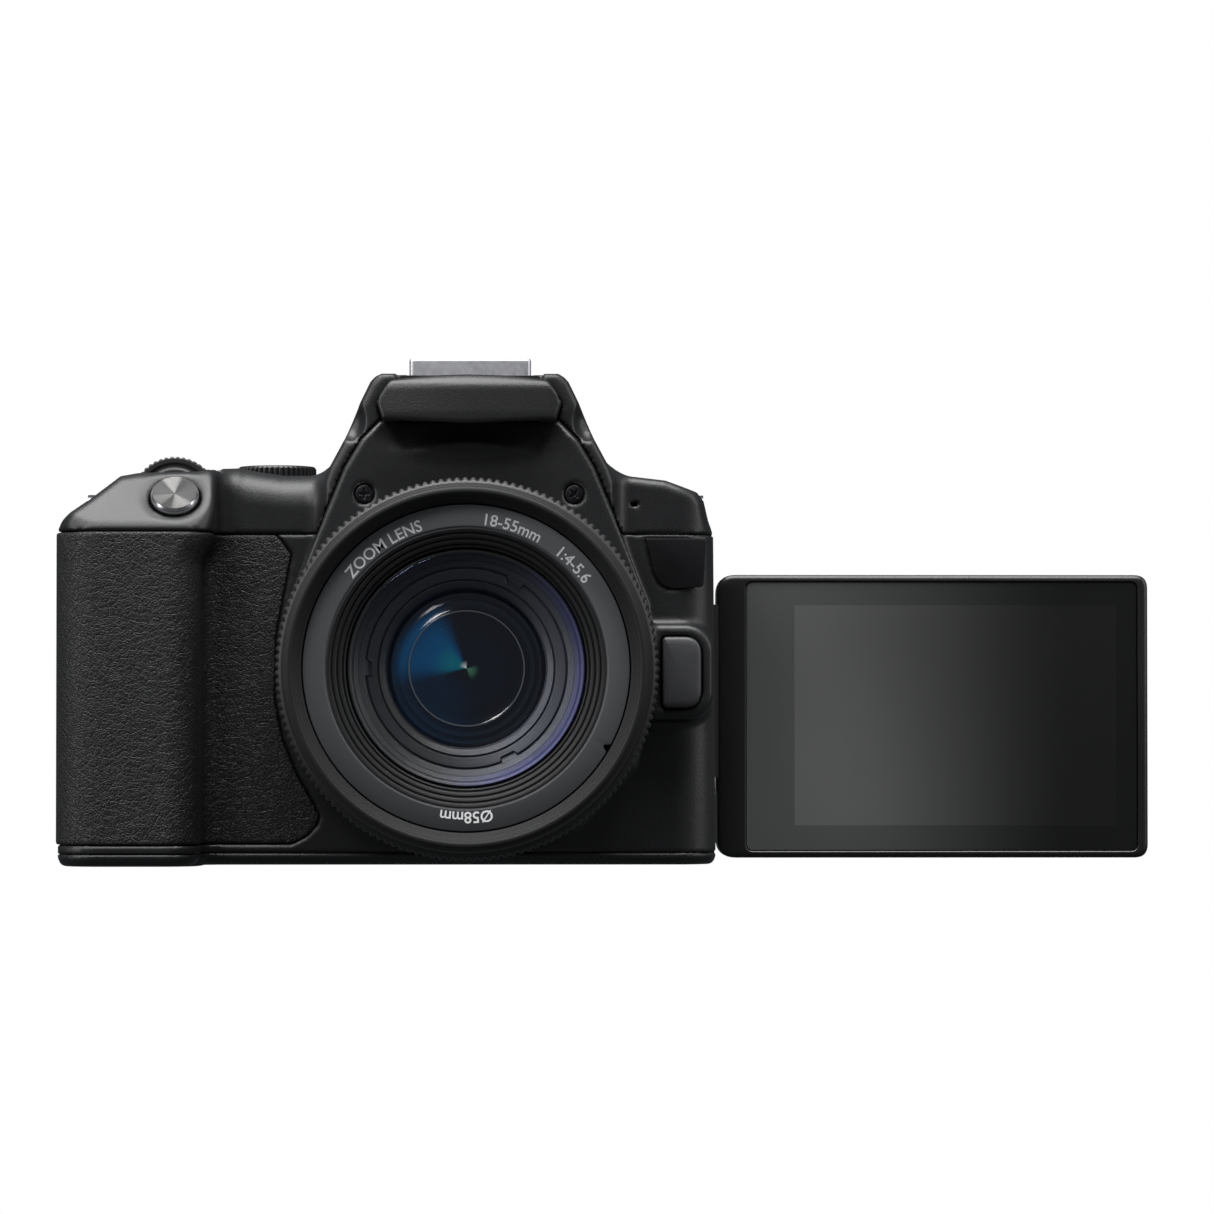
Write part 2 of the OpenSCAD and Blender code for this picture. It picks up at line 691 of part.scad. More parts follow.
module flash_head() color("#262629") difference() {
    union() {
        intersection() {
            rotate([90, 0, 90]) translate([0, 0, -flash_w / 2]) linear_extrude(flash_w) polygon([
                [flash_front_y + 1.6, flash_floor_z], [flash_hinge_y - 6.4, flash_floor_z],
                [flash_hinge_y - 6.4, flash_hinge_z + flash_rear_r],
                [flash_front_y + 8, flash_hinge_z + flash_rear_r - 0.6],
                [flash_front_y + 0.8, flash_floor_z + 7.6], [flash_front_y, flash_floor_z + 5]
            ]);
            slab(0, far) polygon([
                [-flash_w / 2 + 5, flash_front_y], [flash_w / 2 - 5, flash_front_y],
                [flash_w / 2, flash_front_y + 6], [flash_w / 2, 0], [-flash_w / 2, 0],
                [-flash_w / 2, flash_front_y + 6]
            ]);
        }
        block([-flash_rear_w / 2, flash_hinge_y - 6.5, flash_floor_z + 0.8],
              [flash_rear_w / 2, flash_hinge_y, flash_hinge_z + flash_rear_r]);
        rod_x(flash_hinge_y, flash_hinge_z, flash_rear_r, -flash_rear_w / 2, flash_rear_w / 2);
        rod_x(flash_hinge_y, flash_hinge_z, trunnion_r,
              -flash_rear_w / 2 - 2.2, flash_rear_w / 2 + 2.2);
    }
    block([-13, flash_front_y + 2.4, flash_floor_z - 1],
          [13, skirt_y - 0.8, flash_floor_z + 2.4]);
}
module flash_window() color("#d9dde0") {
    block([-12.9, flash_front_y + 2.5, flash_floor_z + 0.3],
          [12.9, skirt_y - 0.9, flash_floor_z + 1.9]);
}

// ==================== Controls ====================
module shutter_button() color("#b9bbbf") at_shutter() {
    difference() {
        translate([0, 0, -wall - 1.6]) cylinder(r = shutter_r, h = wall + 2.8);
        translate([0, 0, 14.6]) sphere(r = 14);
    }
    translate([0, 0, -wall - 3]) cylinder(r = shutter_r + 0.5, h = 1.4);
}
module main_dial() color("#1e1e21") difference() {
    union() {
        rod_y(main_dial_x, main_dial_z, main_dial_r,
              main_dial_y - main_dial_t / 2, main_dial_y + main_dial_t / 2);
        rod_y(main_dial_x, main_dial_z, main_pin_r, main_dial_y - 4.9, main_dial_y + 4.9);
    }
    for (a = [0 : 10 : 350]) translate([main_dial_x, 0, main_dial_z]) rotate([0, a, 0])
        rod_y(main_dial_r + 0.1, 0, 0.35, main_dial_y - 4, main_dial_y + 4);
}
module mode_dial() color("#1f1f22") difference() {
    union() {
        rod_z(mode_x, mode_y, mode_dial_r, mode_floor_z + lever_t + 0.5, shoulder_z + 2.8);
        rod_z(mode_x, mode_y, mode_stem_r, mode_floor_z - wall - 1.6, mode_floor_z + lever_t + 1);
    }
    for (a = [0 : 10 : 350]) translate([mode_x, mode_y, 0]) rotate([0, 0, a])
        rod_z(mode_dial_r + 0.1, 0, 0.35, 0, far);
}
module power_lever() color("#26262a") difference() {
    union() {
        rod_z(mode_x, mode_y, lever_r, mode_floor_z + 0.2, mode_floor_z + lever_t);
        translate([mode_x, mode_y, mode_floor_z + 0.2]) rotate([0, 0, 150])
            translate([0, -1.6, 0]) cube([lever_r + 1.9, 3.2, lever_t - 0.2]);
    }
    rod_z(mode_x, mode_y, lever_bore_r, 0, far);
}
module top_button(x) {
    rod_z(x, top_button_y, button_r, shoulder_z - wall - 1.4, shoulder_z + 0.7);
    rod_z(x, top_button_y, button_r + 0.8, shoulder_z - wall - 2, shoulder_z - wall - 0.8);
}
module iso_button() color("#2a2a2e") top_button(iso_x);
module display_button() color("#2a2a2e") top_button(display_x);
module release_button() color("#28282b") {
    standing(release_top_y - 1.4, face_y - release_travel - 1.4) release_shape();
    rod_y(release_x, axis_z, 1.5, release_top_y, face_y + wall + 0.4);
}
module rear_button(i) {
    rod_y(rear_spots[i][0], rear_spots[i][1], button_r, back_y - wall - 1.4, back_y + proud);
    rod_y(rear_spots[i][0], rear_spots[i][1], button_r + 0.7,
          back_y - wall - 2.2, back_y - wall - 0.8);
}
module live_button() color("#2a2a2e") rear_button(0);
module lock_button() color("#2a2a2e") rear_button(1);
module point_button() color("#2a2a2e") rear_button(2);
module exposure_button() color("#2a2a2e") rear_button(3);
module info_button() color("#2a2a2e") rear_button(4);
module play_button() color("#2a2a2e") rear_button(5);
module erase_button() color("#2a2a2e") rear_button(6);
module set_button() color("#2e2e32") {
    rod_y(pad_x, pad_z, set_r, back_y - wall - 2.6, back_y + proud + 0.2);
}
module cross_keys() color("#26262a") difference() {
    rod_y(pad_x, pad_z, pad_r, back_y - wall - 1, back_y + proud);
    rod_y(pad_x, pad_z, set_r + 0.5, back_y - far, back_y + far);
    rod_y(pad_x, pad_z, set_r + 1.6, back_y + 0.4, back_y + far);
}
module jack_cover() color("#1b1b1d") {
    block([hinge_reach - jack_t, jack_y0, jack_z0], [hinge_reach, jack_y1, jack_z1]);
}

// ==================== Screen ====================
module hinge_bracket() color("#2b2b2f") difference() {
    for (s = [-1, 1]) {
        translate([0, 0, tilt_z + s * (knuckle_h / 2 + 0.3 + lug_h / 2) - lug_h / 2]) {
            rod_z(swing_x, swing_y, knuckle_r, 0, lug_h);
            block([swing_x - knuckle_r, recess_y, 0], [swing_x + knuckle_r, swing_y, lug_h]);
        }
    }
    rod_z(swing_x, swing_y, swing_pin_r + run_gap, -1, far);
}
module hinge_knuckle() color("#3a3a3f") {
    rod_z(swing_x, swing_y, knuckle_r, tilt_z - knuckle_h / 2, tilt_z + knuckle_h / 2);
    rod_z(swing_x, swing_y, swing_pin_r,
          tilt_z - knuckle_h / 2 - lug_h, tilt_z + knuckle_h / 2 + lug_h);
    rod_x(swing_y, tilt_z, tilt_pin_r, swing_x, screen_x0 + tilt_pin_l);
}
module panel_shape(r = 3) {
    translate([(screen_x0 + screen_x1) / 2, tilt_z]) rounded(screen_w, screen_h, r);
}
glass_y0 = screen_y0 + 0.3;
bezel_y1 = screen_y0 + 3.4;
module screen_bezel() color("#1d1d20") difference() {
    standing(screen_y0, bezel_y1) panel_shape();
    standing(screen_y0 - 1, glass_y0 + 1.3)
        translate([(screen_x0 + screen_x1) / 2 + 1.8, tilt_z])
            rounded(screen_w - 7.6, screen_h - 2.6, 1.2);
    rod_x(swing_y, tilt_z, tilt_pin_r + run_gap, 0, screen_x0 + tilt_pin_l + 0.2);
}
module screen_back() color("#232327") difference() {
    standing(bezel_y1, screen_y1) panel_shape();
    rod_x(swing_y, tilt_z, tilt_pin_r + run_gap, 0, screen_x0 + tilt_pin_l + 0.2);
}
module screen_glass() color("#2d3130")
    standing(glass_y0, glass_y0 + 1.2)
        translate([(screen_x0 + screen_x1) / 2 + 1.8, tilt_z])
            rounded(screen_w - 7.8, screen_h - 2.8, 1.1);

// ==================== Lens ====================
bayonet_y = flange_y + 4;
module lens_barrel() color("#1b1b1d") difference() {
    lathe([
        [22, bayonet_y], [25.4, bayonet_y], [25.4, flange_y], [31.6, flange_y],
        [32.8, flange_y - 2.4], [32.8, zoom_y0 + 0.6], [core_r, zoom_y0 + 0.6],
        [core_r, core_y], [core_in_r, core_y], [core_in_r, flange_y - 4], [22, flange_y - 4]
    ]);
    switch_room(-1.7);
}
switch_r = 33.8;
switch_travel = 1.6;
module switch_room(extra) {
    block([31.2, zoom_y0 + 4, axis_z + 1.8], [far, zoom_y0 + 8.4, axis_z + 8.4]);
}
module focus_switch() color("#2d2d30")
    block([31.3, zoom_y0 + 4.2, axis_z + 2], [switch_r - 0.4, zoom_y0 + 8.2, axis_z + 6]);
module zoom_ring() color("#161618") difference() {
    lathe([
        [core_r + run_gap, zoom_y1 + 0.2], [zoom_r - 0.8, zoom_y1 + 0.2],
        [zoom_r, zoom_y1 + 1.6], [zoom_r, zoom_y0 - 1], [zoom_r - 1, zoom_y0 + 0.2],
        [core_r + run_gap, zoom_y0 + 0.2]
    ]);
    translate([0, 0, axis_z]) for (a = [0 : 360 / zoom_ribs : 359.9]) rotate([0, a, 0])
        translate([zoom_r - 0.5, zoom_y1 + 3, -0.5]) cube([2, zoom_y0 - zoom_y1 - 6, 1]);
}
module focus_ring() color("#161618") difference() {
    lathe([
        [head_r + run_gap, focus_y1 + 0.1], [focus_r - 0.5, focus_y1 + 0.1],
        [focus_r, focus_y1 + 0.6], [focus_r, focus_y0 - 0.6], [focus_r - 0.5, focus_y0 - 0.1],
        [head_r + run_gap, focus_y0 - 0.1]
    ]);
    translate([0, 0, axis_z]) for (a = [0 : 5 : 355]) rotate([0, a, 0])
        translate([focus_r - 0.4, focus_y1 + 1.2, -0.5]) cube([2, 4.6, 1]);
}
module inner_barrel() color("#202023") lathe([
    [25.4, core_y + 16], [core_in_r - run_gap, core_y + 16], [core_in_r - run_gap, head_y + 0.4],
    [focus_r, head_y], [focus_r, focus_y0], [head_r, focus_y0], [head_r, focus_y1],
    [focus_r, focus_y1], [focus_r - 0.2, front_y + 3], [30.6, front_y], [filter_r, front_y],
    [filter_r, plate_y], [28, plate_y], [28, glass_y], [glass_r, glass_y],
    [glass_r, glass_y + 4.6], [25.4, glass_y + 4.6]
]);
module nameplate_ring() color("#232326") lathe([
    [23.8, plate_y], [27.9, plate_y], [27.9, plate_y + 1.6], [23.2, plate_y + 1.6],
    [23.2, glass_y - 0.1], [glass_r + 0.2, glass_y - 0.1], [glass_r + 0.2, glass_y - 1.4],
    [20.4, glass_y - 3], [20.4, plate_y + 2.4], [22, plate_y + 0.8]
]);
module front_glass() color("#26405a") lathe(concat(
    [[0, glass_y + 4.4]],
    [[glass_r - 0.05, glass_y + 4.4]],
    [for (i = [10 : -1 : 0])
        [(glass_r - 0.05) * i / 10, glass_y - 3 + dome(glass_r * i / 10, 46)]]
));

front_cover();
top_cover();
rear_cover();
base_cover();
grip_rubber();
thumb_rubber();
badge_plate();
front_screws();
base_screws();
tripod_socket();
strap_lugs();
mirror_box();
body_mount_ring();
main_mirror();
sub_mirror();
focusing_screen();
pentamirror();
eyepiece_lens();
eyecup();
diopter_dial();
shutter_unit();
image_sensor();
main_board();
battery();
memory_card();
battery_door();
door_latch();
hot_shoe();
shoe_springs();
flash_head();
flash_window();
shutter_button();
main_dial();
mode_dial();
power_lever();
iso_button();
display_button();
release_button();
live_button();
lock_button();
point_button();
exposure_button();
info_button();
play_button();
erase_button();
set_button();
cross_keys();
jack_cover();
hinge_bracket();
hinge_knuckle();
screen_bezel();
screen_back();
screen_glass();
lens_barrel();
zoom_ring();
focus_ring();
inner_barrel();
nameplate_ring();
front_glass();
focus_switch();
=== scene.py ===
# %% [markdown]
# # A compact reflex camera, worked out in Blender
# The moving assembly comes from the engineering model: every bore, pin and button
# already has its true size and place. Here each visible piece gets the surface and the
# finish of the real thing. Covers are moulded plastic with soft edges, so they are
# carved from a distance field. Rings and buttons are turned on a lathe. Panels are
# outlines carried along an edge profile.

# %% Tools, and the frame with its box
import math
import bpy
import numpy as np
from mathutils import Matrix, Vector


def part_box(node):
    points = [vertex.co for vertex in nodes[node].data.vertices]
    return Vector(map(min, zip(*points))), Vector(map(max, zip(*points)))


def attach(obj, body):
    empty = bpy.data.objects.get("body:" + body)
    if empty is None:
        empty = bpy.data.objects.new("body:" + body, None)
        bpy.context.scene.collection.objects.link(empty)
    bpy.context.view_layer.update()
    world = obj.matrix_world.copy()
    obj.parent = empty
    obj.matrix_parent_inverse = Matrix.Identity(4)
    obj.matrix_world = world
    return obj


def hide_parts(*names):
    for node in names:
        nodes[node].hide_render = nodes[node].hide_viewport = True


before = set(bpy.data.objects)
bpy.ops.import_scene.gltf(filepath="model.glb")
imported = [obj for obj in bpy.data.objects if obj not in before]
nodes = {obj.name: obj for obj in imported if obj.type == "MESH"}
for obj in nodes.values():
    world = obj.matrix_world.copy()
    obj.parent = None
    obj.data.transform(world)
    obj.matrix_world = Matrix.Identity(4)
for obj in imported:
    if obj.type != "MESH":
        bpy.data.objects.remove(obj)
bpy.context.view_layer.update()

# %% [markdown]
# ## Sizes that several pieces share
# Lengths are in millimetres, as on a drawing, and become metres only when a mesh is
# made. They are read from the engineering model's own boxes, so both models agree.

# %% Shared sizes
def box_mm(node):
    """Two opposite corners of a node's box."""
    low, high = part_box(node)
    return np.array(low) * 1000.0, np.array(high) * 1000.0

def middle(node):
    low, high = box_mm(node)
    return (low + high) / 2

ring_low, ring_high = box_mm("zoom_ring")
AXIS_Z = (ring_low[2] + ring_high[2]) / 2
ZOOM_R = (ring_high[0] - ring_low[0]) / 2
body_low, body_high = box_mm("base_cover")
GRIP_X, SIDE_X, BACK_Y, GRIP_Y = body_low[0], body_high[0], body_high[1], body_low[1]
top_low, top_high = box_mm("top_cover")
SPLIT_Z, HUMP_Z = top_low[2], top_high[2]
SHOULDER_Z = SPLIT_Z + 11
FACE_Y = -11.5
SKIRT_Y = -22.0
WALL, SKIN = 2.0, 0.9
ACROSS, UP, BACK, FRONT = (1, 0, 0), (0, 0, 1), (0, 1, 0), (0, -1, 0)
SEAM_Y = 12.0
print("lens axis", AXIS_Z, "shoulders", SHOULDER_Z, "hump", HUMP_Z)

# %% [markdown]
# ## Camera and studio
# A product shot uses a long lens from about a metre, level with the lens. The set is a
# white room: soft lights above and at both sides draw the highlights on black plastic,
# and a bright wall far behind gives the clean ground.

# %% Camera
eye = np.array([0.0079, -1.0, 0.0234])
aim = eye + np.array([0.01751, 1.0, 0.02416])
camera_data = bpy.data.cameras.new("studio_camera")
camera_data.lens, camera_data.sensor_width = 159.8, 36.0
camera_data.clip_start, camera_data.clip_end = 0.05, 20.0
camera = bpy.data.objects.new("studio_camera", camera_data)
bpy.context.scene.collection.objects.link(camera)
look = aim - eye
camera.location = eye
camera.rotation_euler = (math.pi / 2 + math.atan2(look[2], math.hypot(look[0], look[1])),
                         0.0, -math.atan2(look[0], look[1]))
bpy.context.scene.camera = camera

# %% Lights and ground
def soft_light(name, place, target, size, power):
    """An area light at place, facing target: size is its width and height in metres."""
    lamp = bpy.data.lights.new(name, "AREA")
    lamp.shape, lamp.size, lamp.size_y = "RECTANGLE", size[0], size[1]
    lamp.energy = power
    thing = bpy.data.objects.new(name, lamp)
    bpy.context.scene.collection.objects.link(thing)
    way = np.array(target, float) - np.array(place, float)
    thing.location = place
    thing.rotation_euler = (math.atan2(math.hypot(way[0], way[1]), -way[2]), 0.0,
                            math.atan2(way[0], -way[1]) + math.pi)
    return thing

soft_light("top_softbox", (-0.05, -0.15, 0.75), (0, 0, 0.05), (0.9, 0.5), 13.2)
soft_light("left_strip", (-0.75, -0.35, 0.30), (-0.03, 0, 0.04), (0.25, 0.8), 3.0)
soft_light("right_strip", (0.75, -0.25, 0.35), (0.03, 0, 0.04), (0.25, 0.7), 2.2)
soft_light("front_fill", (-0.50, -0.95, 0.85), (0, 0, 0.04), (0.4, 0.4), 4.6)

world = bpy.data.worlds.new("white_room")
bpy.context.scene.world = world
world.use_nodes = True
tree = world.node_tree
tree.nodes.clear()
sky_out = tree.nodes.new("ShaderNodeOutputWorld")
seen, lit = tree.nodes.new("ShaderNodeBackground"), tree.nodes.new("ShaderNodeBackground")
seen.inputs[0].default_value, seen.inputs[1].default_value = (1, 1, 1, 1), 1.0
lit.inputs[0].default_value, lit.inputs[1].default_value = (0.9, 0.95, 1.0, 1), 0.09
which = tree.nodes.new("ShaderNodeLightPath")
either = tree.nodes.new("ShaderNodeMixShader")
tree.links.new(which.outputs["Is Camera Ray"], either.inputs[0])
tree.links.new(lit.outputs[0], either.inputs[1])
tree.links.new(seen.outputs[0], either.inputs[2])
tree.links.new(either.outputs[0], sky_out.inputs[0])
bpy.context.scene.view_settings.view_transform = "Standard"

# %% [markdown]
# ## Putting points into a mesh
# Every new piece ends in the same step: an array of points and an array of faces go
# into a mesh, which rides on a moving body and stands for the nodes that it replaces.

# %% Mesh helper
def outward(points, faces):
    """The faces turned so that they all look outwards: the solid's volume is then positive."""
    total = 0.0
    for f in faces:
        a = points[f[:, 0]]
        for k in range(1, f.shape[1] - 1):
            total += np.einsum("ij,ij->", a, np.cross(points[f[:, k]], points[f[:, k + 1]]))
    return [f[:, ::-1] for f in faces] if total < 0 else faces

def piece(name, shape, body, stands_for, finish, sharp=None):
    """shape is its points in millimetres, (n, 3), and its faces: one array of point numbers or a
    list of them. Edges that turn by more than `sharp` degrees stay sharp in the shading."""
    mesh = bpy.data.meshes.new(name)
    points, faces = np.asarray(shape[0], float), shape[1]
    faces = outward(points, faces if isinstance(faces, list) else [faces])
    loops = np.concatenate([f.ravel() for f in faces]).astype(np.int32)
    sizes = np.concatenate([np.full(len(f), f.shape[1]) for f in faces])
    mesh.vertices.add(len(points))
    mesh.vertices.foreach_set("co", (points * 0.001).ravel())
    mesh.loops.add(len(loops))
    mesh.loops.foreach_set("vertex_index", loops)
    mesh.polygons.add(len(sizes))
    mesh.polygons.foreach_set("loop_start", (np.cumsum(sizes) - sizes).astype(np.int32))
    mesh.update(calc_edges=True)
    mesh.polygons.foreach_set("use_smooth", np.ones(len(mesh.polygons), bool))
    mesh.validate()
    mesh.materials.append(finish.material)
    if sharp:
        mesh.set_sharp_from_angle(angle=math.radians(sharp))
    thing = bpy.data.objects.new(name, mesh)
    bpy.context.scene.collection.objects.link(thing)
    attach(thing, body)
    if stands_for:
        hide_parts(*stands_for)
    print(f"{name}: {len(points)} points, {len(mesh.polygons)} faces")
    return thing

# %% [markdown]
# ## Distances
# A moulded cover is easiest to describe by how far a point is from its skin: negative
# inside, positive outside. Two shapes join or cut with a maximum or a minimum, and a
# rounded maximum gives the small radius that every moulded edge has.

# %% Distance helpers
def ease(v, start, end):
    """0 before start, 1 after end, and a smooth cubic step between."""
    t = np.clip((v - start) / (end - start), 0.0, 1.0)
    return t * t * (3 - 2 * t)

def both(a, b, r):
    """Where two shapes overlap, with the outer edge rounded to radius r."""
    return np.minimum(np.maximum(a, b), -r) + np.hypot(np.maximum(a + r, 0), np.maximum(b + r, 0))

def either_of(a, b, r):
    """Two shapes joined, with the inner corner filled to radius r."""
    return np.maximum(np.minimum(a, b), r) - np.hypot(np.maximum(r - a, 0), np.maximum(r - b, 0))

def without(a, b, r):
    """Shape a with shape b cut out of it, the rim rounded to radius r."""
    return both(a, -b, r)

def rounded_box(u, v, low, high, r):
    """Distance to a rectangle from low to high with corners of radius r."""
    qu = np.abs(u - (low[0] + high[0]) / 2) - ((high[0] - low[0]) / 2 - r)
    qv = np.abs(v - (low[1] + high[1]) / 2) - ((high[1] - low[1]) / 2 - r)
    return np.hypot(np.maximum(qu, 0), np.maximum(qv, 0)) + np.minimum(np.maximum(qu, qv), 0) - r

def outline(u, v, corners):
    """Distance to a closed outline: that of its nearest side, negative when a ray from the
    point crosses the sides an odd number of times."""
    u, v = np.broadcast_arrays(np.asarray(u, float), np.asarray(v, float))
    near = np.full(u.shape, np.inf)
    odd = np.zeros(u.shape, bool)
    for (ax, ay), (bx, by) in zip(corners, corners[1:] + corners[:1]):
        ex, ey = bx - ax, by - ay
        t = np.clip(((u - ax) * ex + (v - ay) * ey) / (ex * ex + ey * ey), 0, 1)
        near = np.minimum(near, np.hypot(u - ax - t * ex, v - ay - t * ey))
        if ey:
            odd ^= ((ay > v) != (by > v)) & (u < ex * (v - ay) / ey + ax)
    return np.where(odd, -near, near)

def between(v, low, high):
    """Distance to a slab between two planes."""
    return np.maximum(low - v, v - high)

# %% [markdown]
# ## Carving a skin out of a distance
# The space is cut into small cells. A cell whose corners lie on both sides of the skin
# gets one point, at the mean of the places where its edges cross zero, and each crossed
# edge joins the points of its four cells into one face. Each point is then moved along
# the slope of the distance until it lies on the skin itself.

# %% Carving
CORNERS = np.array([[a, b, c] for a in (0, 1) for b in (0, 1) for c in (0, 1)])
EDGES = [(0, 4), (1, 5), (2, 6), (3, 7), (0, 2), (1, 3), (4, 6), (5, 7), (0, 1), (2, 3), (4, 5), (6, 7)]

def slope(field, p, e=0.02):
    """How fast the distance grows along x, y and z at points p."""
    steps = np.eye(3) * e
    return np.stack([field(*(p + s).T) - field(*(p - s).T) for s in steps], 1) / (2 * e)

def carve(field, low, high, step):
    """Points and four-cornered faces of the skin where field is zero."""
    low, high = np.asarray(low, float), np.asarray(high, float)
    count = np.ceil((high - low) / step).astype(int) + 1
    gx, gy, gz = (low[a] + step * np.arange(count[a]) for a in range(3))
    value = np.broadcast_to(field(gx[:, None, None], gy[None, :, None], gz[None, None, :]),
                            tuple(count)).astype(np.float32)
    inside = value < 0
    n0, n1, n2 = (c - 1 for c in count)
    total = sum(inside[a:a + n0, b:b + n1, c:c + n2].astype(np.int8) for a, b, c in CORNERS)
    cell = (total > 0) & (total < 8)
    number = np.full(cell.shape, -1, np.int32)
    where = np.argwhere(cell)
    number[cell] = np.arange(len(where))
    at = [value[tuple((where + c).T)].astype(float) for c in CORNERS]
    summed, crossed = np.zeros((len(where), 3)), np.zeros(len(where))
    for a, b in EDGES:
        cut = (at[a] < 0) != (at[b] < 0)
        t = np.where(cut, at[a] / np.where(cut, at[a] - at[b], 1), 0)
        summed += np.where(cut[:, None], CORNERS[a] + t[:, None] * (CORNERS[b] - CORNERS[a]), 0)
        crossed += cut
    points = low + step * (where + summed / crossed[:, None])
    faces = []
    for axis in range(3):
        first = np.swapaxes(inside, 0, axis)
        cells = np.swapaxes(number, 0, axis)
        flip = first[:-1, 1:-1, 1:-1] != first[1:, 1:-1, 1:-1]
        i, j, k = np.nonzero(flip)
        quad = np.stack([cells[i, j, k], cells[i, j + 1, k], cells[i, j + 1, k + 1],
                         cells[i, j, k + 1]], 1)
        out = first[i, j + 1, k + 1]
        if axis:
            out = ~out
        quad[~out] = quad[~out][:, ::-1]
        faces.append(quad)
    for _ in range(3):
        g = slope(field, points)
        d = field(*points.T)
        move = d / np.maximum((g * g).sum(1), 0.2)
        points = points - g * np.clip(move, -step * 0.5, step * 0.5)[:, None]
    return points, np.concatenate(faces)

# %% [markdown]
# ## Finishes
# Black plastic isn't one black. Fine spark texture breaks up its highlights, the tone
# drifts over a hand's width, and handling polishes it in patches. A small class keeps
# the shader sums readable: arithmetic on a wire adds the Math node that does it.

# %% Shader sums
class Wire:
    """One output of a node. Arithmetic on it adds a Math node and gives that node's wire."""
    def __init__(self, finish, socket):
        self.finish, self.socket = finish, socket

    def sum(self, operation, a, b):
        return self.finish.node("ShaderNodeMath", {"operation": operation}, {0: a, 1: b})

    def __add__(self, other): return self.sum("ADD", self, other)
    def __radd__(self, other): return self.sum("ADD", other, self)
    def __sub__(self, other): return self.sum("SUBTRACT", self, other)
    def __rsub__(self, other): return self.sum("SUBTRACT", other, self)
    def __mul__(self, other): return self.sum("MULTIPLY", self, other)
    def __rmul__(self, other): return self.sum("MULTIPLY", other, self)
    def __truediv__(self, other): return self.sum("DIVIDE", self, other)
    def __pow__(self, other): return self.sum("POWER", self, other)

class Finish:
    """A material and its shader; node() adds any other node."""
    def __init__(self, name, tone, rough, metal=0.0, **fixed):
        self.material = bpy.data.materials.new(name)
        self.material.use_nodes = True
        self.tree = self.material.node_tree
        self.shader = self.tree.nodes["Principled BSDF"]
        self.shader.inputs["Base Color"].default_value = (*tone, 1)
        self.shader.inputs["Roughness"].default_value = rough
        self.shader.inputs["Metallic"].default_value = metal
        for name, value in fixed.items():
            self.shader.inputs[name.replace("_", " ")].default_value = value

    def node(self, kind, settings=None, values=None, out=0):
        made = self.tree.nodes.new(kind)
        for key, value in (settings or {}).items():
            setattr(made, key, value)
        for key, value in (values or {}).items():
            if isinstance(value, Wire):
                self.tree.links.new(value.socket, made.inputs[key])
            else:
                made.inputs[key].default_value = value
        return Wire(self, made.outputs[out])

    def place(self):
        return self.node("ShaderNodeTexCoord", out="Object")

    def noise(self, scale, detail=2.0, rough=0.5):
        return self.node("ShaderNodeTexNoise", {}, {"Vector": self.place(), "Scale": scale,
                                                    "Detail": detail, "Roughness": rough})

    def blend(self, share, a, b):
        """Colour a where share is 0, colour b where it is 1."""
        a, b = ((*c, 1) if isinstance(c, tuple) else c for c in (a, b))
        return self.node("ShaderNodeMix", {"data_type": "RGBA"}, {0: share, 6: a, 7: b}, out=2)

    def send(self, **wires):
        for name, wire in wires.items():
            self.tree.links.new(wire.socket, self.shader.inputs[name.replace("_", " ")])
        return self

    def relief(self, height, distance, strength=1.0):
        self.send(Normal=self.node("ShaderNodeBump", {}, {"Height": height, "Distance": distance,
                                                          "Strength": strength}))
        return self

def moulded(name, tone, rough, grain=2600.0, depth=0.00004, drift=0.35, **fixed):
    """Moulded plastic: spark-eroded grain, a slow drift in tone, and worn, smoother patches."""
    f = Finish(name, tone, rough, **fixed)
    patch = f.noise(38.0, 3.0, 0.6)
    fine = f.noise(grain, 2.0, 0.6)
    lighter = tuple(min(1.0, c * (1 + drift) + 0.002) for c in tone)
    darker = tuple(c * (1 - drift * 0.6) for c in tone)
    f.send(Base_Color=f.blend(patch * 0.7 + fine * 0.3, darker, lighter),
           Roughness=(patch - 0.5) * 0.16 + (fine - 0.5) * 0.10 + rough)
    return f.relief(fine, depth)

cover_plastic = moulded("cover_plastic", (0.0075, 0.0078, 0.0086), 0.42, 2400.0, 0.00003)
head_plastic = moulded("head_plastic", (0.006, 0.0062, 0.0068), 0.40, 2400.0, 0.00003)
button_plastic = moulded("button_plastic", (0.011, 0.011, 0.012), 0.36, 3000.0, 0.00002)
cap_plastic = moulded("cap_plastic", (0.042, 0.0425, 0.046), 0.45, 3000.0, 0.00002)
lens_plastic = moulded("lens_plastic", (0.013, 0.0132, 0.014), 0.42, 3200.0, 0.000016)
rim_plastic = moulded("rim_plastic", (0.016, 0.0162, 0.017), 0.56, 3200.0, 0.000006, Specular_IOR_Level=0.2)
rib_plastic = moulded("rib_plastic", (0.012, 0.012, 0.0125), 0.5, 3000.0, 0.00002)
panel_plastic = moulded("panel_plastic", (0.008, 0.008, 0.0088), 0.34, 2800.0, 0.00001)
badge_plastic = moulded("badge_plastic", (0.006, 0.006, 0.007), 0.28, 3000.0, 0.00001)
inner_plastic = moulded("inner_plastic", (0.004, 0.004, 0.0042), 0.7, 2000.0, 0.00002)

# %% [markdown]
# ## Grip rubber
# The grip is wrapped in rubber moulded like leather: pebbles about a millimetre across,
# split by fine creases. Cells give the pebbles, a bent copy of the same cells gives the
# creases, and fine noise keeps the pebbles from looking cut out.

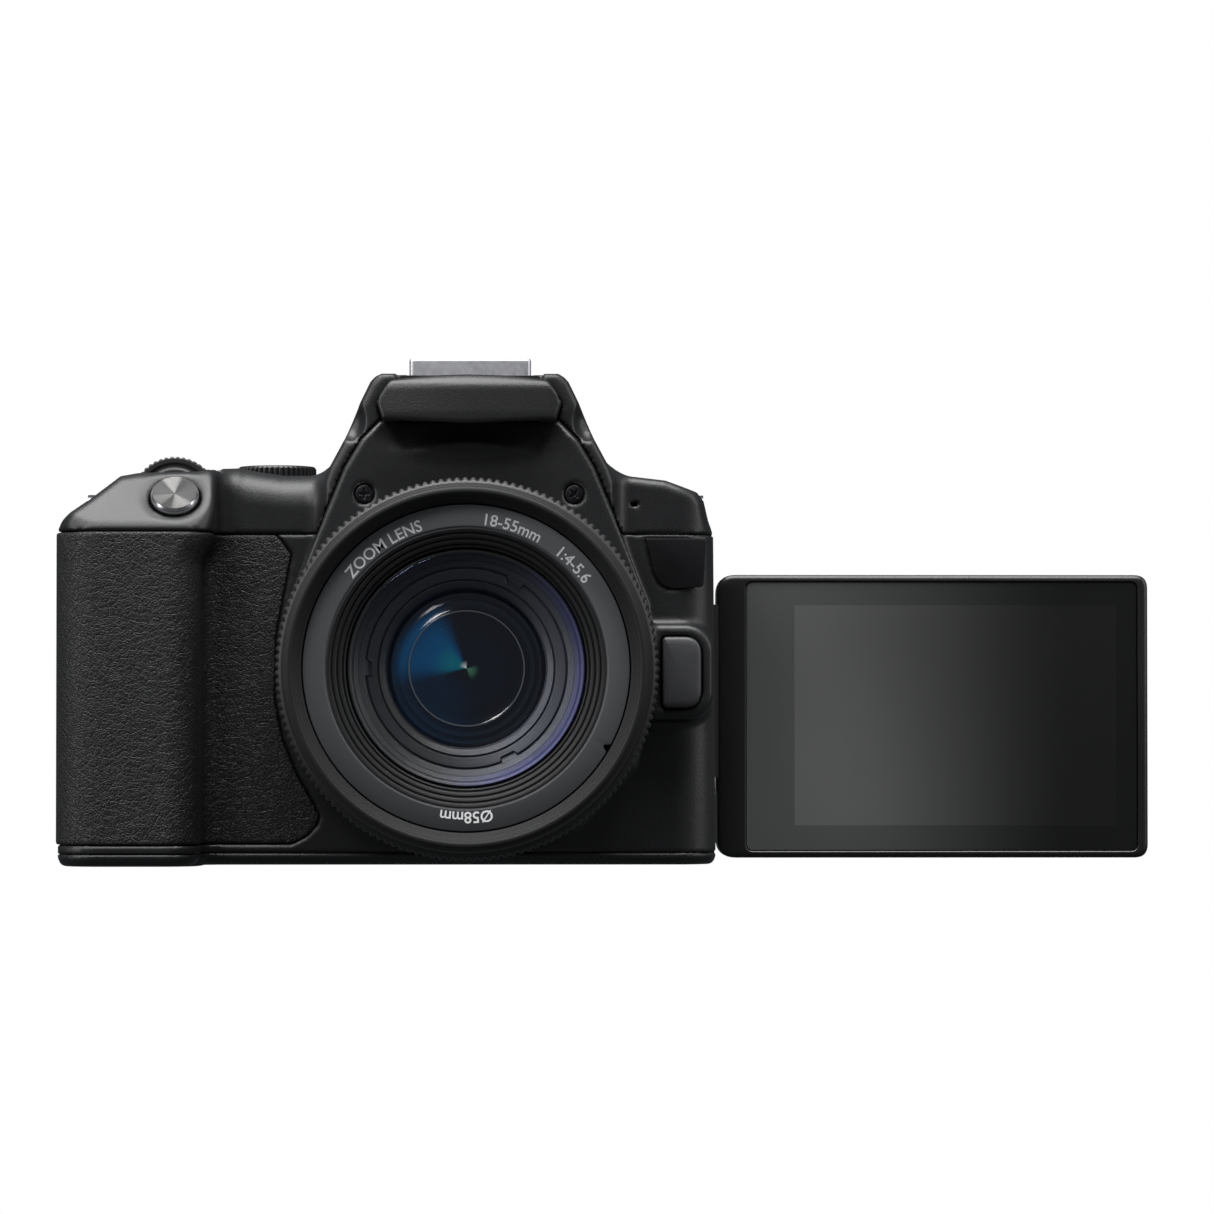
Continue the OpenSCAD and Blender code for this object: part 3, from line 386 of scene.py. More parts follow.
# %% Leather-grained rubber
def leather(name, tone, rough, pebble=1050.0, depth=0.00016):
    f = Finish(name, tone, rough, Specular_IOR_Level=0.42)
    bend = f.node("ShaderNodeTexNoise", {}, {"Vector": f.place(), "Scale": 300.0, "Detail": 2.0}, out=1)
    bent = f.node("ShaderNodeVectorMath", {"operation": "MULTIPLY_ADD"},
                  {0: bend, 1: (0.0016, 0.0016, 0.0016), 2: f.place()})
    crease = f.node("ShaderNodeTexVoronoi", {"feature": "DISTANCE_TO_EDGE"},
                    {"Vector": bent, "Scale": pebble, "Randomness": 1.0})
    wide = f.node("ShaderNodeTexVoronoi", {"feature": "DISTANCE_TO_EDGE"},
                  {"Vector": bent, "Scale": pebble * 0.42, "Randomness": 1.0})
    dome = f.node("ShaderNodeMapRange", {"interpolation_type": "SMOOTHSTEP"},
                  {0: crease, 1: 0.0, 2: 0.22, 3: 0.0, 4: 1.0})
    fold = f.node("ShaderNodeMapRange", {"interpolation_type": "SMOOTHSTEP"},
                  {0: wide, 1: 0.0, 2: 0.10, 3: 0.0, 4: 1.0})
    height = dome * 0.55 + fold * 0.7 + f.noise(2600.0, 2.0) * 0.25
    patch = f.noise(45.0, 2.0)
    dark, light = tuple(c * 0.6 for c in tone), tuple(c * 1.4 for c in tone)
    f.send(Base_Color=f.blend(dome * 0.5 + patch * 0.5, dark, light),
           Roughness=rough + 0.10 - 0.16 * dome + (patch - 0.5) * 0.12)
    return f.relief(height, depth)

grip_leather = leather("grip_leather", (0.0085, 0.0086, 0.0092), 0.50, 1750.0, 0.00009)
plain_rubber = moulded("plain_rubber", (0.010, 0.010, 0.0102), 0.62, 1800.0, 0.00005)

# %% [markdown]
# ## Metals and glass
# Three metals show: dull grey on the accessory shoe, bright plating on small steel
# parts, and the shutter button's turned face, whose rings spread a highlight into a fan;
# here that fan is a painted highlight in the face's colour.

# %% Metals
def metal(name, tone, rough, grain=900.0, depth=0.00001):
    f = Finish(name, tone, rough, 1.0)
    broad, fine = f.noise(60.0, 3.0), f.noise(grain, 3.0, 0.7)
    f.send(Base_Color=f.blend(broad, tuple(c * 0.82 for c in tone), tone),
           Roughness=rough + (fine - 0.5) * 0.18 + (broad - 0.5) * 0.1)
    return f.relief(fine, depth)

def turned_metal(name, tone, rough, centre, across, out):
    """Metal faced on a lathe: fine rings of the distance from the turning axis."""
    f = Finish(name, tone, rough, 1.0)
    spot = f.node("ShaderNodeVectorMath", {"operation": "SUBTRACT"}, {0: f.place(), 1: centre})
    along = f.node("ShaderNodeVectorMath", {"operation": "DOT_PRODUCT"}, {0: spot, 1: out}, out="Value")
    whole = f.node("ShaderNodeVectorMath", {"operation": "LENGTH"}, {0: spot}, out="Value")
    reach = f.node("ShaderNodeMath", {"operation": "SQRT"}, {0: whole ** 2.0 - along ** 2.0})
    rings = f.node("ShaderNodeMath", {"operation": "SINE"}, {0: reach * (2 * math.pi / across)})
    fine = f.noise(2200.0, 2.0)
    f.send(Base_Color=f.blend(f.noise(500.0, 2.0), tuple(c * 0.8 for c in tone), tone),
           Roughness=rough + (fine - 0.5) * 0.12)
    return f.relief(rings * 0.5 + fine * 0.2, 0.000012)

shoe_metal = metal("shoe_metal", (0.70, 0.70, 0.73), 0.46)
bright_metal = metal("bright_metal", (0.72, 0.72, 0.74), 0.24)
dark_metal = metal("dark_metal", (0.05, 0.05, 0.055), 0.35)
mirror_silver = metal("mirror_silver", (0.86, 0.88, 0.9), 0.06)

# %% Glass and the rest of the inside
def coated(name, tone, rough, **fixed):
    f = Finish(name, tone, rough, **fixed)
    smear = f.noise(70.0, 4.0, 0.6)
    f.send(Roughness=rough + (smear - 0.5) * rough * 0.7)
    return f

clear_glass = coated("clear_glass", (0.9, 0.95, 1.0), 0.04, Transmission_Weight=0.92, IOR=1.5)
board_green = moulded("board_green", (0.012, 0.07, 0.035), 0.4, 1500.0, 0.00003)
case_plastic = moulded("case_plastic", (0.03, 0.031, 0.034), 0.45, 2000.0, 0.00003)
sensor_glass = coated("sensor_glass", (0.03, 0.07, 0.09), 0.08, Coat_Weight=1.0)

# %% Finishes that change with the distance from the lens axis
def from_axis(f):
    """Distance from the lens axis in millimetres, and the cosine and sine of the clock angle."""
    spot = f.node("ShaderNodeVectorMath", {"operation": "SUBTRACT"},
                  {0: f.place(), 1: (0, 0, AXIS_Z / 1000)})
    x = f.node("ShaderNodeSeparateXYZ", {}, {0: spot}, out="X") * 1000
    z = f.node("ShaderNodeSeparateXYZ", {}, {0: spot}, out="Z") * 1000
    r = f.node("ShaderNodeMath", {"operation": "SQRT"}, {0: x * x + z * z + 0.0001})
    return r, x / r, z / r

def fan(f, cosine, sine, angle, width):
    """1 along one clock angle, falling to 0 at the given width to either side."""
    side = cosine * math.cos(math.radians(angle)) + sine * math.sin(math.radians(angle))
    return f.node("ShaderNodeMapRange", {"interpolation_type": "SMOOTHERSTEP"},
                  {0: side, 1: math.cos(math.radians(width)), 2: 1.0, 3: 0.0, 4: 1.0})

def step(f, value, start, end):
    """0 below start and 1 above end, with a soft rise between them."""
    return f.node("ShaderNodeMapRange", {"interpolation_type": "SMOOTHSTEP"},
                  {0: value, 1: start, 2: end, 3: 0.0, 4: 1.0})

def band(f, value, low, high, soft):
    """1 between low and high, and 0 outside them, with soft edges of the given width."""
    return step(f, value, low - soft, low + soft) * (1 - step(f, value, high - soft, high + soft))

def plate_finish():
    """Name plate: satin grey, with painted light that makes it lighter at the top and darker at the bottom,
    and the ridges inside it left almost black.
    """
    f = Finish("plate_plastic", (0.058, 0.060, 0.066), 0.5)
    r, c, s = from_axis(f)
    patch, fine = f.noise(38.0, 3.0, 0.6), f.noise(3200.0, 2.0, 0.6)
    # painted light: the plate's colour runs from dark at the bottom to light at the top
    painted_top_light = f.blend(s * 0.5 + 0.5, (0.024, 0.025, 0.028), (0.160, 0.165, 0.176))
    flat = f.blend((patch + fine) * 0.12, painted_top_light, (0.10, 0.10, 0.105))
    f.send(Base_Color=f.blend(step(f, r, 23.6, 24.3), (0.010, 0.010, 0.011), flat),
           Roughness=(patch - 0.5) * 0.14 + (fine - 0.5) * 0.10 + 0.48)
    return f.relief(fine, 0.000012)

plate_plastic = plate_finish()

# %% [markdown]
# ## The body as one carved block
# All the covers follow one outer skin, so their seams meet exactly. The block is a
# rounded plan with the grip grown out of it, the sloped shoulders, the finder hump and
# the raised front housing. Each joint between them is a filled corner, as in a mould.

# %% The outer skin
TOP_ENDS = [(-75.3, -20.0), (-75.3, SPLIT_Z + 0.8), (-74.0, 62.8), (-68.5, 66.9), (-63.6, 71.0),
            (-60.4, SHOULDER_Z), (-49.5, SHOULDER_Z + 0.3), (-46.0, 72.7), (-42.3, 73.0),
            (-39.0, 72.3), (-34.0, SHOULDER_Z), (27.5, SHOULDER_Z), (36.0, 70.6), (41.8, 68.5),
            (43.1, 67.0), (44.0, 63.4), (45.2, SPLIT_Z), (46.2, -20.0)]
HUMP_SIDES = [(-16.6, HUMP_Z + 2), (-16.9, 89.6), (-18.1, 88.3), (-20.2, 84.0), (-22.9, 77.6),
              (-25.6, 72.6), (-26.5, 70.0), (-26.5, 50.0), (26.5, 50.0), (26.5, 70.0), (25.6, 72.6),
              (22.9, 77.6), (20.2, 84.0), (18.1, 88.3), (16.9, 89.6), (16.6, HUMP_Z + 2)]
HOUSING = [(-15.9, 81.2), (-19.6, 77.4), (-22.6, 72.4), (-28.6, 57.8), (-32.6, 47.6), (-34.0, 35.0),
           (-30.0, 18.0), (-20.0, 7.4), (-8.0, 2.6), (8.0, 2.6), (20.0, 7.4), (30.0, 18.0),
           (34.0, 35.0), (32.6, 47.6), (28.6, 57.8), (22.6, 72.4), (19.6, 77.4), (15.9, 81.2)]
LEAN = math.radians(48)
SLOPE_Y, SLOPE_Z = GRIP_Y + 0.9, SPLIT_Z + 1.7
PRESS_X = middle("shutter_button")[0]
PRESS_Y, PRESS_Z = SLOPE_Y + 6.6 * math.cos(LEAN), SLOPE_Z + 6.6 * math.sin(LEAN)
RELEASE_X = (box_mm("release_button")[0][0] + box_mm("release_button")[1][0]) / 2

def plan(x, y, z):
    """Rounded rectangle of the body joined to the taller rounded rectangle of the grip,
    whose inner side flares under the shutter button."""
    block = rounded_box(x, y, (GRIP_X, FACE_Y), (SIDE_X, BACK_Y), np.where(np.asarray(y) > 12, 6.0, 8.5))
    inner = -48.9 + 2.7 * ease(z, 54.0, 61.5)
    grip = rounded_box(x, y, (GRIP_X, GRIP_Y), (inner, 14.0), np.where(np.asarray(x) < -62, 8.0, 5.6))
    return either_of(block, grip, 3.0)

def leaning(x, y, z):
    """Height above the sloped plate over the grip."""
    return (z - SLOPE_Z) * math.cos(LEAN) - (y - SLOPE_Y) * math.sin(LEAN)

def housing(x, y, z):
    """Raised front housing: its outline standing out to the mount, hollowed under the brow
    and left with a soft lip in the middle."""
    brow = np.exp(-((z - 81.5) / 5.2) ** 2) * 3.4 * ease(22.0 - np.abs(x), 0.0, 12.0)
    lip = 2.6 * np.exp(-((z - 76.0) / 1.7) ** 2) * np.exp(-(x / 8.5) ** 2)
    front = SKIRT_Y + np.maximum(brow - lip, -0.2)
    return both(outline(x, z, HOUSING), front - y, 0.7)

def release_rim(x, y, z, grow):
    """D-shaped boss round the lens release: a square side towards the lens, round outside."""
    round_end = rounded_box(x, z, (RELEASE_X - 16.0, AXIS_Z - 6.45 - grow),
                            (RELEASE_X + 3.5 + grow, AXIS_Z + 6.45 + grow), 3.3 + 0.8 * grow)
    return both(round_end, RELEASE_X - 3.5 - grow - x, 0.9)

def skin(x, y, z):
    """The whole body's outside: plan, shoulders, slope, hump, housing and release boss."""
    broad = ease(x, -48.0, -41.0) * (1 - ease(x, -27.0, -20.0)) * (1 - ease(y, -4.0, 4.0))
    solid = both(plan(x, y, z), outline(x, z, TOP_ENDS), 1.8 + 4.4 * broad)
    solid = both(solid, leaning(x, y, z), 1.4)
    hump = both(outline(x, z, HUMP_SIDES), between(y, -18.0, BACK_Y), 1.6)
    hump = both(hump, z - HUMP_Z + 1.0 - ease(y, -18.0, -3.0), 0.6)
    hump = both(hump, (z - HUMP_Z) + (y - 18.0) * 0.34, 2.0)
    solid = either_of(solid, hump, 3.6)
    solid = either_of(solid, both(housing(x, y, z), y + 8.0, 0.1), 0.9)
    rim = both(release_rim(x, y, z, 2.3), -19.4 - y, 1.3)
    solid = either_of(solid, both(rim, y + 8.0, 0.1), 1.6)
    return both(solid, -z, 2.0)

HINGE_Y, HINGE_Z = -6.0, HUMP_Z - 5.0
HEAD = [(-14.1, 87.6), (-7.0, 88.5), (0.0, 88.8), (7.0, 88.5), (14.1, 87.6), (16.7, 83.9), (15.6, 80.6),
        (0.0, 79.9), (-15.6, 80.6), (-16.7, 83.9)]

def pockets(x, y, z):
    """Everything sunk into the skin: screen recess, mode dial well, shutter dish, shoe seat,
    the bay under the flash, and the finger scoops beside it."""
    lean = leaning(x, y, z)
    along = (y - PRESS_Y) * math.cos(LEAN) + (z - PRESS_Z) * math.sin(LEAN)
    dish = np.sqrt((x - PRESS_X) ** 2 + along ** 2 + (lean - 12.2) ** 2) - 13.6
    well = np.maximum(np.hypot(x - MODE_X, y - MODE_Y) - 10.7, 68.8 - z)
    screen = np.maximum(np.maximum(SCREEN_X - x, SCREEN_Y - y), z - SCREEN_Z)
    wide = np.maximum(np.maximum(outline(x, z, HEAD) - 0.25, y + 9.6), 80.9 - z)
    narrow = np.maximum(np.maximum(np.abs(x) - 13.4, y - HINGE_Y), 80.9 - z)
    behind = np.maximum(np.maximum(np.abs(x) - 13.4, y + 1.2), HINGE_Z - z)
    round_end = np.maximum(np.hypot(y - HINGE_Y, z - HINGE_Z) - 4.8, np.abs(x) - 13.4)
    scoop = np.sqrt((np.abs(x) - 21.6) ** 2 + ((y + 18.5) / 1.6) ** 2 + ((z - 81.2) / 1.5) ** 2) - 2.6
    seat = np.maximum(np.maximum(np.abs(x) - 11.4, np.abs(y - 8.7) - 9.3), HUMP_Z - 1 - z)
    found = np.minimum(np.minimum(dish, well), np.minimum(screen, seat))
    bay = np.minimum(np.minimum(wide, narrow), np.minimum(behind, round_end))
    return np.minimum(found, np.minimum(bay, scoop))

def walls(x, y, z, rubber=True):
    """The skin with its pockets, hollowed to an even wall."""
    outer = without(skin(x, y, z), pockets(x, y, z), 0.5)
    hollow = outer + WALL
    if rubber:
        outer = without(outer, np.maximum(grip_cut(x, y, z), -(plan(x, y, z) + SKIN)), 0.12)
        outer = without(outer, np.maximum(thumb_cut(x, y, z), -(plan(x, y, z) + SKIN)), 0.12)
    return np.maximum(outer, -hollow)

MODE_X, MODE_Y = middle("mode_dial")[:2]
bezel_low, bezel_high = box_mm("screen_bezel")
SWING_X = bezel_low[0] - 3.4
SCREEN_X = SWING_X - 3.4 - (bezel_high[0] - bezel_low[0]) - 0.5
SCREEN_Y, SCREEN_Z = bezel_low[1] - 0.5, bezel_high[2] + 0.5
RUBBER = [(-90.0, 60.6), (-35.6, 60.6), (-34.6, 59.6), (-32.6, 56.8), (-34.0, 49.6), (-35.4, 42.0),
          (-35.6, 30.0), (-34.2, 23.0), (-31.6, 16.6), (-28.5, 11.3), (-27.4, 8.8), (-27.9, 7.2),
          (-29.8, 5.2), (-32.5, 3.8), (-90.0, 3.8)]

def grip_cut(x, y, z):
    """Area that the grip's rubber covers: its outline from the front, back to the side seam."""
    return np.maximum(outline(x, z, RUBBER), y - 4.0)

def thumb_cut(x, y, z):
    """Area of the thumb rest's rubber on the rear cover, beside the screen."""
    patch = rounded_box(x, z, (-80.0, 45.6), (SCREEN_X - 2.4, SPLIT_Z - 0.2), 1.5)
    return np.maximum(np.maximum(patch, 28.0 - y), z - SPLIT_Z)

# %% [markdown]
# ## Covers
# Each cover is the part of the walls inside its own zone, less its holes. Zones meet
# with a twentieth of a millimetre between them and a small radius on each edge, which
# is what makes a real seam readable as a fine dark line.

# %% Front cover
SCREW_X, SCREW_Z = 19.05, 67.6

def round_y(x, z, cx, cz, r):
    """Distance outside a hole that runs along y."""
    return np.hypot(x - cx, z - cz) - r

def rear_holes(x, y, z, spots):
    """Round holes through the back wall, one for each (node, radius)."""
    holes = [np.maximum(round_y(x, z, middle(n)[0], middle(n)[2], r), 30.0 - y) for n, r in spots]
    return np.min(holes, 0)

def housing_zone(x, y, z):
    return np.maximum(outline(x, z, HOUSING) - 0.3, y + 9.5)

def front_cover(x, y, z):
    zone = np.maximum(np.maximum(z - SPLIT_Z + 0.05, 2.25 - z), y - SEAM_Y + 0.05)
    zone = np.minimum(zone, np.maximum(housing_zone(x, y, z), 2.25 - z))
    wall = both(walls(x, y, z), zone, 0.22)
    holes = np.minimum(round_y(x, z, 0, AXIS_Z, 30.0), np.maximum(release_rim(x, y, z, 0.3), -y - 30))
    holes = np.maximum(holes, y + 9.0)
    seats = np.maximum(round_y(np.abs(x), z, SCREW_X, SCREW_Z, 1.95), y - SKIRT_Y - 0.75)
    pins = round_y(np.abs(x), z, SCREW_X, SCREW_Z, 0.95)
    mics = np.maximum(rounded_box(x, z, (-33.1, 65.75), (-31.7, 66.5), 0.35), y + 9)
    badge = np.maximum(outline(x, z, BADGE), y - FACE_Y - 0.4)
    jack = np.maximum(np.maximum(SIDE_X - 1.3 - x, rounded_box(y, z, (-2.2, 15.7), (11.7, 48.3), 1.2)), -x)
    cut = np.minimum(np.minimum(holes, seats), np.minimum(pins, mics))
    cut = np.minimum(cut, np.minimum(badge, jack))
    floor = np.maximum(np.maximum(release_rim(x, y, z, 0.6), -12.0 - y), y + 9.6)
    floor = np.maximum(floor, -round_y(x, z, RELEASE_X, AXIS_Z, 1.55))
    return np.minimum(without(wall, cut, 0.22), floor)

BADGE = [(31.9, 59.8), (32.3, 60.2), (43.2, 60.1), (43.8, 59.4), (43.4, 51.2), (42.8, 50.7),
         (37.2, 50.3), (35.0, 51.0), (33.6, 53.2)]
piece("front_shell", carve(front_cover, (-76, -28.5, 1.4), (47, 13, 83.5), 0.5),
      "camera_body", ["front_cover"], cover_plastic)

# %% Top cover
def top_cover(x, y, z):
    zone = np.maximum(SPLIT_Z + 0.05 - z, -(housing_zone(x, y, z) - 0.1))
    wall = both(walls(x, y, z, False), zone, 0.22)
    lean = leaning(x, y, z)
    along = (y - PRESS_Y) * math.cos(LEAN) + (z - PRESS_Z) * math.sin(LEAN)
    press = np.hypot(x - PRESS_X, along) - 4.75
    press = np.maximum(press, np.abs(lean) - 6.0)
    dial = middle("main_dial")
    slot = np.maximum(np.abs(x - dial[0]) - 8.4, np.abs(y - dial[1]) - 2.8)
    small = np.minimum(*[np.hypot(x - middle(n)[0], y - middle(n)[1]) - 2.7
                         for n in ("iso_button", "display_button")])
    stem = np.hypot(x - MODE_X, y - MODE_Y) - 2.1
    finder = np.maximum(rounded_box(x, z, (-8.2, 70.0), (8.2, 82.4), 1.0), 30.0 - y)
    rear = rear_holes(x, y, z, (("live_button", 2.7), ("lock_button", 2.7), ("point_button", 2.7),
                                ("diopter_dial", 3.3)))
    mic = np.maximum(rounded_box(x, z, (29.5, 65.75), (30.9, 66.5), 0.35), y + 9)
    pin = np.maximum(np.hypot(y - HINGE_Y, z - HINGE_Z) - 1.6, np.abs(x) - 15.8)
    loops = np.maximum(np.hypot(y - 7.0, z - 65.6) - 3.2,
                       np.minimum(np.abs(x + 70.6), np.abs(x - 42.8)) - 0.9)
    cut = np.minimum(np.minimum(press, slot), np.minimum(small, stem))
    cut = np.minimum(np.minimum(cut, finder), np.minimum(mic, np.minimum(pin, loops)))
    return without(wall, np.minimum(cut, rear), 0.25)

piece("top_shell", carve(top_cover, (-76, -28.5, SPLIT_Z - 0.6), (47, 37.4, HUMP_Z + 1), 0.5),
      "camera_body", ["top_cover"], cover_plastic)

# %% Rear cover and base
def rear_cover(x, y, z):
    zone = np.maximum(np.maximum(z - SPLIT_Z + 0.05, 2.25 - z), SEAM_Y + 0.05 - y)
    wall = both(walls(x, y, z), zone, 0.22)
    cut = rear_holes(x, y, z, (("exposure_button", 2.7), ("info_button", 2.7), ("play_button", 2.7),
                               ("erase_button", 2.7), ("cross_keys", 9.7)))
    return without(wall, cut, 0.25)

piece("rear_shell", carve(rear_cover, (-76, 11.5, 1.4), (47, 37.4, SPLIT_Z + 0.6), 0.6),
      "camera_body", ["rear_cover"], cover_plastic)

def base_cover(x, y, z):
    outer = without(both(skin(x, y, z), z - 2.2, 0.2),
                    np.maximum(np.maximum(SCREEN_X - x, SCREEN_Y - y), z - 60), 0.4)
    door_high = box_mm("battery_door")[1]
    door = np.maximum(plan(x, y, z) + 2.5, np.maximum(x - door_high[0] - 0.3, y - door_high[1] - 0.3))
    cut = np.minimum(door, np.hypot(x, y) - 7.0)
    screws = np.hypot(np.abs(x) - 38, np.abs(y - 7.5) - 11.5)
    cut = np.minimum(cut, np.minimum(np.maximum(screws - 1.9, z - 1), screws - 0.95))
    return without(outer, cut, 0.2)

piece("base_shell", carve(base_cover, (-76, -28.5, -0.6), (47, 37.4, 2.9), 0.5),
      "camera_body", ["base_cover"], cover_plastic)

# %% Rubber on the grip and the thumb rest
def grip_rubber(x, y, z):
    skin_only = np.maximum(plan(x, y, z), -(plan(x, y, z) + SKIN - 0.05))
    clear = np.maximum(skin_only, -(housing(x, y, z) - 0.9))
    return both(clear, grip_cut(x, y, z) + 0.12, 0.4)

piece("grip_wrap", carve(grip_rubber, (-76, -28.5, 2.8), (-26, 5, 61.6), 0.45),
      "camera_body", ["grip_rubber"], grip_leather)

def thumb_rubber(x, y, z):
    skin_only = np.maximum(plan(x, y, z), -(plan(x, y, z) + SKIN - 0.05))
    return both(skin_only, thumb_cut(x, y, z) + 0.12, 0.4)

piece("thumb_wrap", carve(thumb_rubber, (-76, 27, 44.5), (-42, 37.4, 61.4), 0.5),
      "camera_body", ["thumb_rubber"], grip_leather)

# %% [markdown]
# ## Turned and outlined pieces
# Rings, dials and buttons are turned on a lathe, so a profile swept round an axis gives
# their exact shape, and a function of the angle adds knurls. Panels are outlines that
# run through a small edge profile, like a sheet with a rolled edge.

# %% Lathe and panel helpers
def softened(corners, r=0.25, steps=3, closed=True):
    """Each corner becomes a short curve: the blend (1-t)^2 a + 2t(1-t) b + t^2 c from a point
    before it, through it, to a point after it. r is one length, or one for each corner."""
    b = np.asarray(corners, float)
    r = np.broadcast_to(np.asarray(r, float), len(b))[:, None]
    back, on = np.roll(b, 1, 0) - b, np.roll(b, -1, 0) - b
    lb, lo = np.hypot(*back.T)[:, None] + 1e-9, np.hypot(*on.T)[:, None] + 1e-9
    a, c = b + back * np.minimum(r / lb, 0.45), b + on * np.minimum(r / lo, 0.45)
    t = np.linspace(0, 1, steps + 1)[None, :, None]
    soft = (1 - t) ** 2 * a[:, None] + 2 * t * (1 - t) * b[:, None] + t ** 2 * c[:, None]
    if not closed:
        soft[0], soft[-1] = b[0], b[-1]
    return soft.reshape(-1, 2)

def grid_faces(n, m, wrap_n=True, wrap_m=True):
    """Faces that join an n by m grid of points to its neighbours."""
    i, j = np.meshgrid(np.arange(n if wrap_n else n - 1), np.arange(m if wrap_m else m - 1), indexing="ij")
    i2, j2 = (i + 1) % n, (j + 1) % m
    return np.stack([i * m + j, i * m + j2, i2 * m + j2, i2 * m + j], -1).reshape(-1, 4)

LENS = ((0, 0, AXIS_Z), ACROSS, UP, BACK)

def turned(profile, around, where=LENS, closed=True, knurl=None):
    """Profile of (radius, height) swept round an axis. where holds a point on the axis, the two
    directions across it and the one along it; knurl changes the radius from (r, height, angle).
    An open profile starts and ends on the axis, and fans of triangles close it there."""
    profile = np.asarray(profile, float)
    a = np.arange(around) * 2 * math.pi / around
    r, h = profile[:, 0][None, :] + 0 * a[:, None], profile[:, 1][None, :] + 0 * a[:, None]
    if knurl is not None:
        r = knurl(r, h, a[:, None])
    o, u, v, w = (np.asarray(q, float) for q in where)
    points = (o + (r * np.cos(a[:, None]))[..., None] * u + (r * np.sin(a[:, None]))[..., None] * v
              + h[..., None] * w)
    m = len(profile)
    if closed:
        return points.reshape(-1, 3), [grid_faces(around, m)]
    inner = points[:, 1:-1].reshape(-1, 3)
    ends = np.array([points[0, 0], points[0, -1]])
    k = m - 2
    i = np.arange(around)
    start = np.stack([np.full(around, around * k), i * k, (i + 1) % around * k], 1)
    last = np.stack([np.full(around, around * k + 1), (i + 1) % around * k + k - 1, i * k + k - 1], 1)
    return np.concatenate([inner, ends]), [grid_faces(around, k, True, False), start, last]

def panel(shape, edge, where, crown=()):
    """Closed outline shape (n, 2) carried through an edge profile of (inset, height) steps,
    then drawn in to the middle by a crown of (scale, height) steps, with flat ends.
    where is (origin, across, up, out)."""
    shape, edge = np.asarray(shape, float), np.asarray(edge, float)
    run = np.roll(shape, -1, 0) - np.roll(shape, 1, 0)
    area = np.sum(shape[:, 0] * np.roll(shape[:, 1], -1) - np.roll(shape[:, 0], -1) * shape[:, 1])
    side = np.stack([-run[:, 1], run[:, 0]], 1) / np.hypot(*run.T)[:, None] * np.sign(area)
    flat = shape[None] + side[None] * edge[:, 0][:, None, None]
    if len(crown):
        crown = np.asarray(crown, float)
        centre = flat[-1].mean(0)
        flat = np.concatenate([flat, centre + (flat[-1] - centre) * crown[:, 0][:, None, None]])
        edge = np.concatenate([edge, crown])
    o, u, v, w = (np.asarray(q, float) for q in where)
    points = (o + flat[..., :1] * u + flat[..., 1:] * v + edge[:, 1][:, None, None] * w)
    k, n = len(edge), len(shape)
    ends = [np.arange(n)[None, ::-1], (np.arange(n) + (k - 1) * n)[None]]
    return points.reshape(-1, 3), [grid_faces(k, n, False, True)] + ends

def joined(*meshes):
    """Several (points, faces) pairs as one."""
    points, faces, start = [], [], 0
    for p, f in meshes:
        points.append(p)
        faces += [g + start for g in outward(p, f if isinstance(f, list) else [f])]
        start += len(p)
    return np.concatenate(points), faces

# %% [markdown]
# ## Lens barrel and rings
# The zoom ring carries about 150 moulded teeth, so that it grips in any position. The
# front ring is turned smooth with a fine filter thread inside. The plate behind it steps
# down in four soft ridges that keep stray light off the glass.

# %% Barrel and zoom ring
def teeth(count, depth, low, high, base):
    """Knurl of rounded teeth, only on the outer skin between two heights."""
    def cut(r, h, a):
        share = np.abs(np.cos(a * count / 2)) ** 0.8
        on = (r > base - 0.6) * ease(h, low, low + 0.8) * (1 - ease(h, high - 0.8, high))
        return r - depth * (1 - share) * on
    return cut

zoom_low, zoom_high = box_mm("zoom_ring")
focus_low, focus_high = box_mm("focus_ring")
barrel_low, barrel_high = box_mm("lens_barrel")
inner_low = box_mm("inner_barrel")[0]
FLANGE_Y, ZOOM_Y0, ZOOM_Y1 = SKIRT_Y - 2.0, zoom_high[1], zoom_low[1]
FOCUS_Y0, FOCUS_Y1, FRONT_Y = focus_high[1] + 0.1, focus_low[1] - 0.1, inner_low[1]
BARREL_R, FOCUS_R = (barrel_high[0] - barrel_low[0]) / 2, (focus_high[0] - focus_low[0]) / 2
CORE_R = ZOOM_R - 2.4
PLATE_Y = FRONT_Y + 3.6

barrel = softened([(22, FLANGE_Y + 4), (25.4, FLANGE_Y + 4), (25.4, FLANGE_Y), (31.6, FLANGE_Y),
                   (BARREL_R - 0.1, FLANGE_Y - 1.6), (BARREL_R, FLANGE_Y - 2.6), (BARREL_R, FLANGE_Y - 8.6),
                   (BARREL_R - 0.35, FLANGE_Y - 8.9), (BARREL_R - 0.35, FLANGE_Y - 9.4),
                   (BARREL_R, FLANGE_Y - 9.7), (BARREL_R, ZOOM_Y0 + 0.6), (CORE_R, ZOOM_Y0 + 0.5),
                   (CORE_R, barrel_low[1]), (CORE_R - 1.9, barrel_low[1]), (CORE_R - 1.9, FLANGE_Y - 4),
                   (22, FLANGE_Y - 4)], 0.3)
print("barrel radius", BARREL_R, "core", CORE_R, "barrel end", barrel_low[1])
piece("barrel_shell", turned(barrel, 240),
      "camera_body", ["lens_barrel"], lens_plastic, 35)

